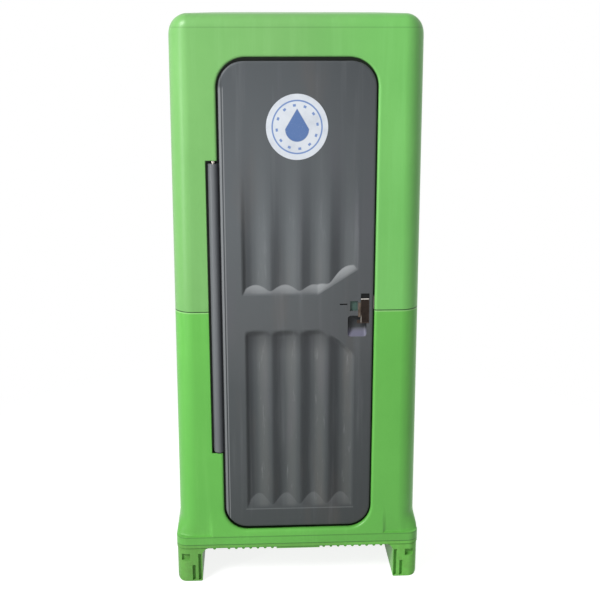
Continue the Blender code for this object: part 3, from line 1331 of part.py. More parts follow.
def door_outline(inset):
    """The door's outline in X and Z, drawn in by an inset."""
    low = OPENING_BOTTOM_RADIUS - DOOR_GAP_RIGHT - inset
    high = OPENING_TOP_RADIUS - DOOR_GAP_TOP - inset
    return rounded_outline((DOOR_LEFT_X + inset, DOOR_BOTTOM_Z + inset),
                           (DOOR_RIGHT_X - inset, DOOR_TOP_Z - inset), (low, high, high, low))[0]


def front_pocket(name, low, high, depth, radius=0.0):
    """A pocket cut from the door's face between two corners given in X and Z."""
    rounding = radius if radius > 0 else KEY_SLOT_HEIGHT / 4
    outline = rounded_outline(low, high, [rounding] * 4, EDGE_STEPS)[0]
    return skin(name, [upright_ring(outline, DOOR_FRONT_Y - OVERRUN),
                       upright_ring(outline, DOOR_FRONT_Y + depth)])


def lock_cutters():
    """The lock's cavity at the back of the door and the bolt's way out of its edge."""
    cavity = box("cut_lock", (LOCK_LEFT_X - GAP, LOCK_FRONT_Y, LOCK_BOTTOM_Z - GAP),
                 (LOCK_RIGHT_X + GAP, DOOR_BACK_Y + OVERRUN, LOCK_TOP_Z + GAP))
    clear = RUNNING_GAP
    way = box("cut_bolt_way", (LOCK_RIGHT_X - LOCK_WALL, BOLT_FRONT_Y - clear,
                               BOLT_Z - BOLT_HEIGHT / 2 - clear),
              (DOOR_RIGHT_X + OVERRUN, BOLT_BACK_Y + clear, BOLT_Z + BOLT_HEIGHT / 2 + clear))
    return cavity, way


def slide_pocket():
    """The slot that the latch slide moves in, which opens below into the finger pocket."""
    return front_pocket("cut_slide", (SLIDE_LEFT_X - RUNNING_GAP, FINGER_TOP_Z - FINGER_RADIUS),
                        (SLIDE_RIGHT_X + RUNNING_GAP, SLIDE_TOP_Z + SLIDE_LIFT + RUNNING_GAP),
                        SLIDE_RECESS)


def tail_pocket():
    """The slide's lower end sits in this shallow pocket beside the finger pocket."""
    return front_pocket("cut_slide_tail", (SLIDE_LEFT_X - RUNNING_GAP, SLIDE_BOTTOM_Z - RUNNING_GAP),
                        (SLIDE_RIGHT_X + RUNNING_GAP, FINGER_TOP_Z), SLIDE_RECESS)


def tongue_slot():
    """The cut in the door's left edge that takes the hinge barrel's tongue."""
    half = BARREL_TONGUE_THICKNESS / 2 + GAP
    return box("cut_tongue", (HINGE_X, HINGE_Y + BARREL_TONGUE_THICKNESS - half, BARREL_BOTTOM_Z - GAP),
               (HINGE_X + BARREL_TONGUE_REACH + GAP, HINGE_Y + BARREL_TONGUE_THICKNESS + half,
                BARREL_TOP_Z + GAP))


def make_door(grey):
    """The moulded door with its flutes, lock recesses and label seat."""
    rings = []
    for step in range(EDGE_STEPS + 1):
        turn = step / EDGE_STEPS * math.pi / 2
        rings.append(upright_ring(door_outline(DOOR_EDGE_WIDTH * (1 - math.sin(turn))),
                                  DOOR_FRONT_Y + DOOR_EDGE_DEPTH * (1 - math.cos(turn))))
    rings.append(upright_ring(door_outline(0), DOOR_BACK_Y))
    door = skin("door_panel", rings, grey, smooth=True)
    cut(door, flute_cutter("cut_upper_flutes", upper_depth, UPPER_PANEL_LEFT_X,
                           UPPER_PANEL_RIGHT_X, upper_heights()),
        flute_cutter("cut_lower_flutes", lower_depth, LOWER_PANEL_LEFT_X,
                     LOWER_PANEL_RIGHT_X, lower_heights()),
        *lock_cutters(), slide_pocket(), tail_pocket(),
        front_pocket("cut_finger_pocket", (FINGER_LEFT_X, FINGER_BOTTOM_Z),
                     (FINGER_RIGHT_X, FINGER_TOP_Z), FINGER_DEPTH, FINGER_RADIUS),
        front_pocket("cut_window", (WINDOW_LEFT_X, WINDOW_BOTTOM_Z), (WINDOW_RIGHT_X, WINDOW_TOP_Z),
                     LOCK_SKIN + OVERRUN / 4),
        front_pocket("cut_key_slot", (KEY_SLOT_X - KEY_SLOT_LENGTH / 2, KEY_SLOT_Z - KEY_SLOT_HEIGHT / 2),
                     (KEY_SLOT_X + KEY_SLOT_LENGTH / 2, KEY_SLOT_Z + KEY_SLOT_HEIGHT / 2),
                     KEY_SLOT_DEPTH),
        front_pocket("cut_guide_seat",
                     (SLIDE_LEFT_X - 2 * RUNNING_GAP - GUIDE_WIDTH - GAP, guide_low() - GAP),
                     (SLIDE_LEFT_X - 2 * RUNNING_GAP + GAP, guide_low() + GUIDE_HEIGHT + GAP),
                     GUIDE_THICKNESS + GAP),
        tongue_slot())
    return door


def guide_low():
    """The lower end of the strip beside the latch slide."""
    return FINGER_TOP_Z - FINGER_RADIUS / 2


def make_latch(steel):
    """The steel latch slide and the strip beside it."""
    front = DOOR_FRONT_Y - GAP
    slide = box("latch_slide", (SLIDE_LEFT_X, front, SLIDE_BOTTOM_Z),
                (SLIDE_RIGHT_X, DOOR_FRONT_Y + SLIDE_THICKNESS, SLIDE_TOP_Z), steel)
    join(slide, box("join_slide_tongue",
                    (SLIDE_LEFT_X - SLIDE_TONGUE_REACH, front, SLIDE_BOTTOM_Z),
                    (SLIDE_LEFT_X + GUIDE_WIDTH, DOOR_FRONT_Y + GUIDE_THICKNESS,
                     SLIDE_BOTTOM_Z + SLIDE_TONGUE_HEIGHT - SLIDE_LIFT)))
    right = SLIDE_LEFT_X - 2 * RUNNING_GAP
    strip = box("latch_guide", (right - GUIDE_WIDTH, DOOR_FRONT_Y, guide_low()),
                (right, DOOR_FRONT_Y + GUIDE_THICKNESS, guide_low() + GUIDE_HEIGHT), steel)
    return slide, strip


def make_lock_housing(black):
    """The tray that holds the lock at the back of the door, open towards the window."""
    housing = box("lock_housing", (LOCK_LEFT_X, LOCK_FRONT_Y + GAP, LOCK_BOTTOM_Z),
                  (LOCK_RIGHT_X, DOOR_BACK_Y + GAP + LOCK_FLANGE_THICKNESS, LOCK_TOP_Z), black)
    join(housing, box("join_lock_flange",
                      (LOCK_LEFT_X - LOCK_FLANGE, DOOR_BACK_Y + GAP, LOCK_BOTTOM_Z - LOCK_FLANGE),
                      (LOCK_RIGHT_X, DOOR_BACK_Y + GAP + LOCK_FLANGE_THICKNESS,
                       LOCK_TOP_Z + LOCK_FLANGE)))
    wall = LOCK_WALL
    cut(housing, box("cut_lock_inside", (LOCK_LEFT_X + wall, LOCK_FRONT_Y - OVERRUN, LOCK_BOTTOM_Z + wall),
                     (LOCK_RIGHT_X - wall, BOLT_BACK_Y + RUNNING_GAP, LOCK_TOP_Z - wall)))
    clear = RUNNING_GAP
    cut(housing, box("cut_housing_bolt", (LOCK_RIGHT_X - 2 * wall, BOLT_FRONT_Y - clear,
                                          BOLT_Z - BOLT_HEIGHT / 2 - clear),
                     (LOCK_RIGHT_X + OVERRUN, BOLT_BACK_Y + clear, BOLT_Z + BOLT_HEIGHT / 2 + clear)))
    shaft = KNOB_SHAFT_RADIUS + GAP
    cut(housing, turned("cut_knob_hole", ((LOCK_FRONT_Y, shaft), (DOOR_BACK_Y + OVERRUN, shaft)),
                        (KNOB_X, 0, BOLT_Z), "y", sides=SMALL_SIDES))
    return housing


def housing_screw_places():
    """The corners of the housing's flange that carry screws."""
    inset = LOCK_FLANGE / 2
    xs = (LOCK_LEFT_X - inset, LOCK_RIGHT_X - 2 * inset)
    zs = (LOCK_BOTTOM_Z - inset, LOCK_TOP_Z + inset)
    return [(x, z) for z in zs for x in xs]


def make_housing_screws(steel):
    """Screw heads on the back of the lock housing."""
    start = DOOR_BACK_Y + GAP + LOCK_FLANGE_THICKNESS + GAP
    made = []
    for number, (x, z) in enumerate(housing_screw_places(), 1):
        made.append(turned(f"housing_screw_{number}",
                           ((0, HOUSING_SCREW_RADIUS),
                            (HOUSING_SCREW_HEAD / 2, HOUSING_SCREW_RADIUS),
                            (HOUSING_SCREW_HEAD, HOUSING_SCREW_RADIUS / 2)),
                           (x, start, z), "y", steel, SMALL_SIDES))
    return made


def make_lock(black, steel, flag_green):
    """The bolt with its flag, and the knob that moves them."""
    end = DOOR_RIGHT_X - BOLT_END_CLEAR
    low, high = BOLT_Z - BOLT_HEIGHT / 2, BOLT_Z + BOLT_HEIGHT / 2
    bolt = box("lock_bolt", (end - BOLT_LENGTH, BOLT_FRONT_Y, low), (end, BOLT_BACK_Y, high), steel)
    flag = box("indicator_flag",
               (WINDOW_LEFT_X - FLAG_MARGIN - BOLT_TRAVEL, FLAG_BACK_Y - FLAG_THICKNESS,
                WINDOW_BOTTOM_Z - FLAG_MARGIN),
               (WINDOW_RIGHT_X + FLAG_MARGIN, FLAG_BACK_Y, WINDOW_TOP_Z + FLAG_MARGIN), flag_green)
    start = DOOR_BACK_Y + GAP + LOCK_FLANGE_THICKNESS + GAP
    knob = turned("lock_knob", ((BOLT_BACK_Y + RUNNING_GAP, KNOB_SHAFT_RADIUS), (start, KNOB_SHAFT_RADIUS),
                                (start, KNOB_RADIUS), (start + KNOB_THICKNESS, KNOB_RADIUS)),
                  (KNOB_X, 0, BOLT_Z), "y", black)
    half = KNOB_GRIP_WIDTH / 2
    join(knob, box("join_knob_grip", (KNOB_X - half, start + KNOB_THICKNESS / 2, BOLT_Z - KNOB_RADIUS * 0.9),
                   (KNOB_X + half, start + KNOB_THICKNESS + KNOB_GRIP_HEIGHT,
                    BOLT_Z + KNOB_RADIUS * 0.9)))
    return bolt, flag, knob


def make_keeper(steel):
    """The steel plate on the jamb that the bolt shoots through."""
    right = OPENING_WIDTH / 2 - GAP
    plate = box("keeper_plate", (right - KEEPER_THICKNESS, DOOR_FRONT_Y + DOOR_EDGE_DEPTH, KEEPER_BOTTOM_Z),
                (right, LIP_FRONT_Y - GAP, KEEPER_TOP_Z), steel)
    clear = BOLT_HOLE_CLEAR / 2
    cut(plate, box("cut_keeper", (right - OVERRUN, BOLT_FRONT_Y - clear, BOLT_Z - BOLT_HEIGHT / 2 - clear),
                   (right + OVERRUN, BOLT_BACK_Y + clear, BOLT_Z + BOLT_HEIGHT / 2 + clear)))


def make_pull(black):
    """The handle on the inside of the door."""
    face = DOOR_BACK_Y + GAP
    path = bent_path(((PULL_X, face, PULL_BOTTOM_Z), (PULL_X, face + PULL_REACH, PULL_BOTTOM_Z),
                      (PULL_X, face + PULL_REACH, PULL_TOP_Z), (PULL_X, face, PULL_TOP_Z)), PULL_BEND)
    return bent_bar("door_pull", path, PULL_RADIUS, (1, 0, 0), black)


def make_label(white):
    """The plain round label, stuck to the face of the door."""
    outline = oval(LABEL_HALF_WIDTH, LABEL_HALF_HEIGHT, LABEL_Z)
    outline[:, 0] += LABEL_X
    back = DOOR_FRONT_Y - GAP
    return skin("door_label", [upright_ring(outline, back - LABEL_THICKNESS),
                               upright_ring(outline, back)], white)


def make_hinge(grey, steel, black):
    """The hinge barrel and bushes that turn with the door, and the rod and washer that stay."""
    place = (HINGE_X, HINGE_Y, 0)
    barrel = turned("hinge_barrel", ((BARREL_BOTTOM_Z, BARREL_RADIUS), (BARREL_TOP_Z, BARREL_RADIUS)),
                    place, "z", grey)
    half = BARREL_TONGUE_THICKNESS / 2
    middle = HINGE_Y + BARREL_TONGUE_THICKNESS
    join(barrel, box("join_tongue", (HINGE_X, middle - half, BARREL_BOTTOM_Z),
                     (HINGE_X + BARREL_TONGUE_REACH, middle + half, BARREL_TOP_Z)))
    seat = BUSH_RADIUS + GAP
    cut(barrel, turned("cut_barrel_bore", ((BARREL_BOTTOM_Z - OVERRUN, seat),
                                           (BARREL_TOP_Z + OVERRUN, seat)), place, "z"))
    inner = ROD_RADIUS + RUNNING_GAP
    bushes = [sleeve("hinge_bush_bottom", BARREL_BOTTOM_Z, BARREL_BOTTOM_Z + BUSH_LENGTH,
                     BUSH_RADIUS, inner, place, "z", black),
              sleeve("hinge_bush_top", BARREL_TOP_Z - BUSH_LENGTH, BARREL_TOP_Z,
                     BUSH_RADIUS, inner, place, "z", black)]
    turned("hinge_rod", ((NOTCH_BOTTOM_Z - ROD_BITE + GAP, ROD_RADIUS),
                         (NOTCH_TOP_Z + ROD_BITE - GAP, ROD_RADIUS)), place, "z", steel,
           sides=SMALL_SIDES)
    sleeve("hinge_washer", NOTCH_BOTTOM_Z + GAP, BARREL_BOTTOM_Z - GAP, WASHER_RADIUS,
           inner, place, "z", black)
    return [barrel] + bushes


def main():
    """Build the cabin, piece by piece."""
    clear_scene()
    green = finish("shell_green", (0.185, 0.50, 0.115), 0.42)
    grey = finish("door_grey", (0.105, 0.11, 0.115), 0.45)
    black = finish("moulded_black", (0.022, 0.023, 0.025), 0.5)
    pale_grey = finish("pale_grey", (0.42, 0.43, 0.44), 0.5)
    white = finish("white_plastic", (0.78, 0.80, 0.82), 0.35)
    paper = finish("paper", (0.82, 0.81, 0.78), 0.9)
    card = finish("card", (0.42, 0.33, 0.22), 0.85)
    rubber = finish("rubber", (0.03, 0.03, 0.03), 0.75)
    steel = finish("steel", (0.55, 0.53, 0.50), 0.32, 1.0)
    flag_green = finish("flag_green", (0.10, 0.28, 0.16), 0.45)
    make_shells(green)
    make_seam_bolts(steel)
    make_pallet(green)
    make_runner("runner_left", -1, green)
    make_runner("runner_right", 1, green)
    make_floor(grey)
    make_tank(black)
    make_seat_brackets(pale_grey, steel)
    make_seat(black, rubber)
    make_lid(black)
    make_vents(pale_grey, green)
    make_urinal(white, pale_grey)
    make_paper_holder(pale_grey, paper, card)
    make_coat_hook(steel)
    make_keeper(steel)
    door_axis = pivot("door_axis", (HINGE_X, HINGE_Y, 0))
    carry(door_axis, make_door(grey), make_lock_housing(black), make_pull(black), make_label(white))
    carry(door_axis, *make_hinge(grey, steel, black))
    carry(door_axis, *make_housing_screws(steel))
    slide, strip = make_latch(steel)
    carry(door_axis, slide, strip)
    bolt, flag, knob = make_lock(black, steel, flag_green)
    carry(door_axis, bolt, flag, knob)


main()
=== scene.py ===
"""Looks of a portable toilet cabin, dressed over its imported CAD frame.

Metres, +Z up. The door faces -Y and the cabin stands on the floor at Z 0.
"""
import logging
import math
from dataclasses import dataclass
from enum import Enum
from typing import Callable, Sequence

import bmesh
import bpy
import numpy as np
from mathutils import Matrix, Vector


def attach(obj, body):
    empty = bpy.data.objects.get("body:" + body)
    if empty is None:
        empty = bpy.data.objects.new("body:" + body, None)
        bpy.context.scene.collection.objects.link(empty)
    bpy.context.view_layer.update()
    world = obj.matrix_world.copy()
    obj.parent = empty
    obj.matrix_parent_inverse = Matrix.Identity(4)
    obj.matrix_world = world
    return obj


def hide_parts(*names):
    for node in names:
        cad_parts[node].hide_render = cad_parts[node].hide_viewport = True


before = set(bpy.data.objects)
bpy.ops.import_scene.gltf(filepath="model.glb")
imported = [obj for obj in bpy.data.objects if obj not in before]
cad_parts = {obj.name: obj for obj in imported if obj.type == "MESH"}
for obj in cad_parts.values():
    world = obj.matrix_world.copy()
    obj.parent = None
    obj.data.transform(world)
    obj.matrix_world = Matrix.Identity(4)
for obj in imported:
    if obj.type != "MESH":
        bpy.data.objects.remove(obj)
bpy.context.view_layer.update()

Array = np.ndarray
Colour = tuple[float, float, float]
Point = tuple[float, float, float]
Pair = tuple[float, float]
Triple = tuple[float, float, float]
Pocket = tuple[Pair, Pair, float]
Piece = bpy.types.Object
LOG = logging.getLogger("cabin")
ROLL = 0.3
EDGE_FACES = 2
MERGE_DISTANCE = 2e-5
FLAT_ANGLE = 1.0


def tone(red: float, green: float, blue: float) -> Colour:
    """Turn a colour of 0 to 255 as a screen shows it into linear light.

    Args:
        red: Red, from 0 to 255.
        green: Green, from 0 to 255.
        blue: Blue, from 0 to 255.

    Returns:
        The linear colour, from 0 to 1.
    """
    shares = np.array((red, green, blue)) / 255
    light = np.where(shares <= 0.04045, shares / 12.92, ((shares + 0.055) / 1.055) ** 2.4)
    return tuple(float(value) for value in light)


class Dial:
    """A shader socket whose sums and products add Math nodes."""

    def __init__(self, recipe: "Recipe", socket: bpy.types.NodeSocket) -> None:
        """Wrap a socket of a recipe's tree."""
        self.recipe = recipe
        self.socket = socket

    def math(self, operation: str, first: "Dial | float",
             second: "Dial | float" = 0.0) -> "Dial":
        """Add one Math node.

        Args:
            operation: The Math node's operation.
            first: Its first value.
            second: Its second value.

        Returns:
            The node's result.
        """
        return self.recipe.out("ShaderNodeMath", {"operation": operation}, {0: first, 1: second})

    def __add__(self, other: "Dial | float") -> "Dial":
        """Self plus other."""
        return self.math("ADD", self, other)

    __radd__ = __add__

    def __sub__(self, other: "Dial | float") -> "Dial":
        """Self minus other."""
        return self.math("SUBTRACT", self, other)

    def __rsub__(self, other: "Dial | float") -> "Dial":
        """Other minus self."""
        return self.math("SUBTRACT", other, self)

    def __mul__(self, other: "Dial | float") -> "Dial":
        """Self times other."""
        return self.math("MULTIPLY", self, other)

    __rmul__ = __mul__

    def __truediv__(self, other: "Dial | float") -> "Dial":
        """Self over other."""
        return self.math("DIVIDE", self, other)

    def __pow__(self, other: "Dial | float") -> "Dial":
        """Self to the power of other."""
        return self.math("POWER", self, other)

    def __abs__(self) -> "Dial":
        """Self without its sign."""
        return self.math("ABSOLUTE", self)

    def lesser(self, other: "Dial | float") -> "Dial":
        """The smaller of self and other."""
        return self.math("MINIMUM", self, other)

    def greater(self, other: "Dial | float") -> "Dial":
        """The larger of self and other."""
        return self.math("MAXIMUM", self, other)

    def wave(self) -> "Dial":
        """The sine of self."""
        return self.math("SINE", self)

    def rise(self, low: float, high: float) -> "Dial":
        """Go smoothly from 0 at low to 1 at high.

        Args:
            low: Where the rise starts.
            high: Where it ends; below low, it falls.

        Returns:
            The smooth step.
        """
        start, end, from_, to = (low, high, 0.0, 1.0) if low < high else (high, low, 1.0, 0.0)
        return self.recipe.out(
            "ShaderNodeMapRange", {"interpolation_type": "SMOOTHSTEP"},
            {"Value": self, "From Min": start, "From Max": end, "To Min": from_, "To Max": to})

    def near(self, middle: float, reach: float, soft: float) -> "Dial":
        """Be 1 within reach of a value and fall to 0 over a soft edge.

        Args:
            middle: The value in the band's middle.
            reach: Half the band's width.
            soft: The width of its edge.

        Returns:
            The band as a mask.
        """
        return abs(self - middle).rise(reach + soft, reach)


Axes = tuple[Dial, Dial, Dial]


class Recipe:
    """A material in the making: its tree and its shader."""

    def __init__(self, name: str) -> None:
        """Start a material with a plain shader.

        Args:
            name: The material's name.
        """
        self.material = bpy.data.materials.new(name)
        self.material.use_nodes = True
        self.tree = self.material.node_tree
        self.shader = self.tree.nodes["Principled BSDF"]

    def wire(self, node: bpy.types.Node, values: dict) -> bpy.types.Node:
        """Give a node's sockets their values.

        Args:
            node: The node.
            values: Numbers, colours or dials by socket name or number.

        Returns:
            The node.
        """
        for key, value in values.items():
            socket = node.inputs[key]
            if isinstance(value, Dial):
                self.tree.links.new(value.socket, socket)
            elif socket.type == "RGBA":
                socket.default_value = (*value, 1.0)
            else:
                socket.default_value = value
        return node

    def add(self, kind: str, settings: dict, values: dict) -> bpy.types.Node:
        """Add a node.

        Args:
            kind: The node's type.
            settings: Its settings; "stops" are a ramp's places and colours.
            values: Numbers, colours or dials by socket name or number.

        Returns:
            The node.
        """
        node = self.tree.nodes.new(kind)
        for key, value in settings.items():
            if key == "stops":
                for index, (place, colour) in enumerate(value):
                    stop = node.color_ramp.elements[index] if index < 2 else \
                        node.color_ramp.elements.new(place)
                    stop.position, stop.color = place, (*colour, 1.0)
            else:
                setattr(node, key, value)
        return self.wire(node, values)

    def out(self, kind: str, settings: dict, values: dict, result: int | str = 0) -> Dial:
        """Add a node and hand over one of its results.

        Args:
            kind: The node's type.
            settings: Its settings.
            values: What its sockets get.
            result: The output's name or number.

        Returns:
            The output as a dial.
        """
        return Dial(self, self.add(kind, settings, values).outputs[result])

    def place(self) -> Dial:
        """The point on the piece, in the part's own frame."""
        return self.out("ShaderNodeTexCoord", {}, {}, "Object")

    def axes(self, vector: Dial) -> Axes:
        """Split a vector into its three numbers."""
        node = self.add("ShaderNodeSeparateXYZ", {}, {0: vector})
        return tuple(Dial(self, socket) for socket in node.outputs)

    def scaled(self, vector: Dial, scale: Point) -> Dial:
        """Stretch a vector along its axes."""
        return self.out("ShaderNodeVectorMath", {"operation": "MULTIPLY"}, {0: vector, 1: scale})

    def noise(self, vector: Dial, scale: float, detail: float = 3.0, rough: float = 0.5) -> Dial:
        """Cloudy noise of about 0 to 1.

        Args:
            vector: Where it is read.
            scale: Its blobs to the metre.
            detail: How many finer layers lie on it.
            rough: How strong these are.

        Returns:
            The noise.
        """
        return self.out("ShaderNodeTexNoise", {},
                        {"Vector": vector, "Scale": scale, "Detail": detail, "Roughness": rough})

    def blend(self, first: "Dial | Colour", second: "Dial | Colour",
              share: "Dial | float", kind: str = "MIX") -> Dial:
        """Mix two colours.

        Args:
            first: The colour at share 0.
            second: The colour at share 1.
            share: How much of the second is used.
            kind: How they blend.

        Returns:
            The mixed colour.
        """
        return self.out("ShaderNodeMix", {"data_type": "RGBA", "blend_type": kind},
                        {0: share, 6: first, 7: second}, 2)

    def bump(self, height: Dial, distance: float, under: Dial | None = None) -> Dial:
        """Turn a height of 0 to 1 into bumps.

        Args:
            height: The height.
            distance: How high 1 stands, in metres.
            under: Bumps that these lie on.

        Returns:
            The bumped normal.
        """
        values = {"Height": height, "Distance": distance, "Strength": 1.0}
        if under is not None:
            values["Normal"] = under
        return self.out("ShaderNodeBump", {}, values)

    def feed(self, values: dict) -> bpy.types.Material:
        """Give the shader its values and hand over the material."""
        self.wire(self.shader, values)
        return self.material


@dataclass(frozen=True)
class Moulded:
    """Moulded plastic with slow waves, fine grain, faded clouds, dirt near the ground, and painted
    shade and highlight lines at seams and gaps.
    """

    name: str
    colour: Colour
    shade: Colour
    pale: Colour
    roughness: float = 0.40
    wave: float = 0.0016
    wave_scale: float = 5.0
    grain: float = 0.00012
    grain_scale: float = 900.0
    fade: float = 0.35
    dirt: float = 0.0
    dirt_top: float = 0.34
    seams: tuple[Pair, ...] = ()
    gloss: float = 0.30
    gap_shade: bool = False
    earth: Colour = tone(96, 92, 66)
    # Seam lines: dark lines of painted shade along the joints and the roof crease; a negative
    # strength paints a pale highlight line instead.
    seam_line: Pair = (0.0012, 0.0020)
    seam_shade: Colour = tone(28, 56, 26)
    seam_highlight: Colour = tone(190, 236, 168)
    # Painted shade in the doorway's gap: a near-black tone on the jamb behind the facade.
    gap_shade_tone: Colour = tone(7, 16, 7)
    gap_share: float = 0.96
    gap_hinge_side: Pair = (0.10, -0.10)
    gap_head: Pair = (2.02, 2.08)
    gap_lead: float = 0.0030
    gap_mouth: Pair = (-0.5116, -0.5040)
    gap_end: Pair = (-0.4600, -0.4640)
    gap_side: Pair = (0.352, 0.348)
    gap_band: Triple = (1.182, 0.966, 0.004)
    # Painted shade: the dark tone that a side is multiplied by.
    shade_veil: Colour = (0.30, 0.32, 0.36)
    # A tint multiplied in towards +X, and where it rises in X.
    right_tint_rise: Pair = (-0.10, 0.42)
    right_tint: Colour | None = None
    shaded_side: Pair | None = None

    def dirt_and_shade(self, recipe: Recipe, body: Dial, place: Dial, clouds: Dial) -> Dial:
        """Lay dirt over the foot of the cabin, painted shade lines along its seams and crease, and
        painted shade into the doorway's gap.

        Args:
            recipe: The material in the making.
            body: The plastic's clean colour.
            place: The point on the piece.
            clouds: Slow noise that breaks the dirt up.

        Returns:
            The colour with its dirt and painted shade.
        """
        height = recipe.axes(place)[2]
        specks = recipe.noise(place, 60.0, 5.0, 0.65)
        low = height.rise(self.dirt_top, 0.0) * (clouds * 0.6 + specks * 0.7).rise(0.45, 0.95)
        body = recipe.blend(body, self.earth, low * self.dirt)
        # Painted shade lines along the seams and the crease, and a painted highlight line where the
        # strength is negative.
        for seam, strength in self.seams:
            line = height.near(seam, *self.seam_line)
            mark = self.seam_shade if strength > 0 else self.seam_highlight
            body = recipe.blend(body, mark, line * abs(strength))
        # Painted shade: the jamb inside the doorway's gap is darkened to near black.
        if self.gap_shade:
            across, deep, _ = recipe.axes(place)
            wide = across.rise(*self.gap_hinge_side).greater(
                height.rise(*self.gap_head)) * self.gap_lead
            inside = (deep + wide).rise(*self.gap_mouth) * deep.rise(*self.gap_end)
            near = abs(across).rise(*self.gap_side) * height.near(*self.gap_band)
            body = recipe.blend(body, self.gap_shade_tone, inside * near * self.gap_share)
        return body

    def material(self) -> bpy.types.Material:
        """Build the material: clouds between three tones, streaks, grain and waves.

        Returns:
            The material.
        """
        recipe = Recipe(self.name)
        place = recipe.place()
        clouds = recipe.noise(place, 3.2, 4.0, 0.55)
        streaks = recipe.noise(recipe.scaled(place, (26.0, 26.0, 1.3)), 1.0, 4.0, 0.6)
        fine = recipe.noise(place, 42.0, 4.0, 0.6)
        body = recipe.blend(self.colour, self.shade, clouds.rise(0.35, 0.75) * self.fade)
        body = recipe.blend(body, self.pale, streaks.rise(0.48, 0.80) * (self.fade * 0.8))
        body = recipe.blend(body, self.shade, fine.rise(0.55, 0.80) * (self.fade * 0.35))
        across = recipe.axes(place)[0]
        # A lighter, greener tint multiplied in towards +X.
        if self.right_tint:
            body = recipe.blend(body, self.right_tint, across.rise(*self.right_tint_rise), "MULTIPLY")
        # Painted shade: the side towards +X is multiplied darker, as the side turned from the
        # light.
        if self.shaded_side:
            body = recipe.blend(body, self.shade_veil, across.rise(*self.shaded_side), "MULTIPLY")
        if self.dirt > 0:
            body = self.dirt_and_shade(recipe, body, place, clouds)
        waves = recipe.bump(recipe.noise(place, self.wave_scale, 1.0, 0.3), self.wave)
        grain = recipe.bump(recipe.noise(place, self.grain_scale, 2.0, 0.6), self.grain, waves)
        gloss = clouds * 0.10 + streaks * 0.08 + (self.roughness - 0.09)
        return recipe.feed({"Base Color": body, "Roughness": gloss, "Normal": grain,
                            "Specular IOR Level": self.gloss})


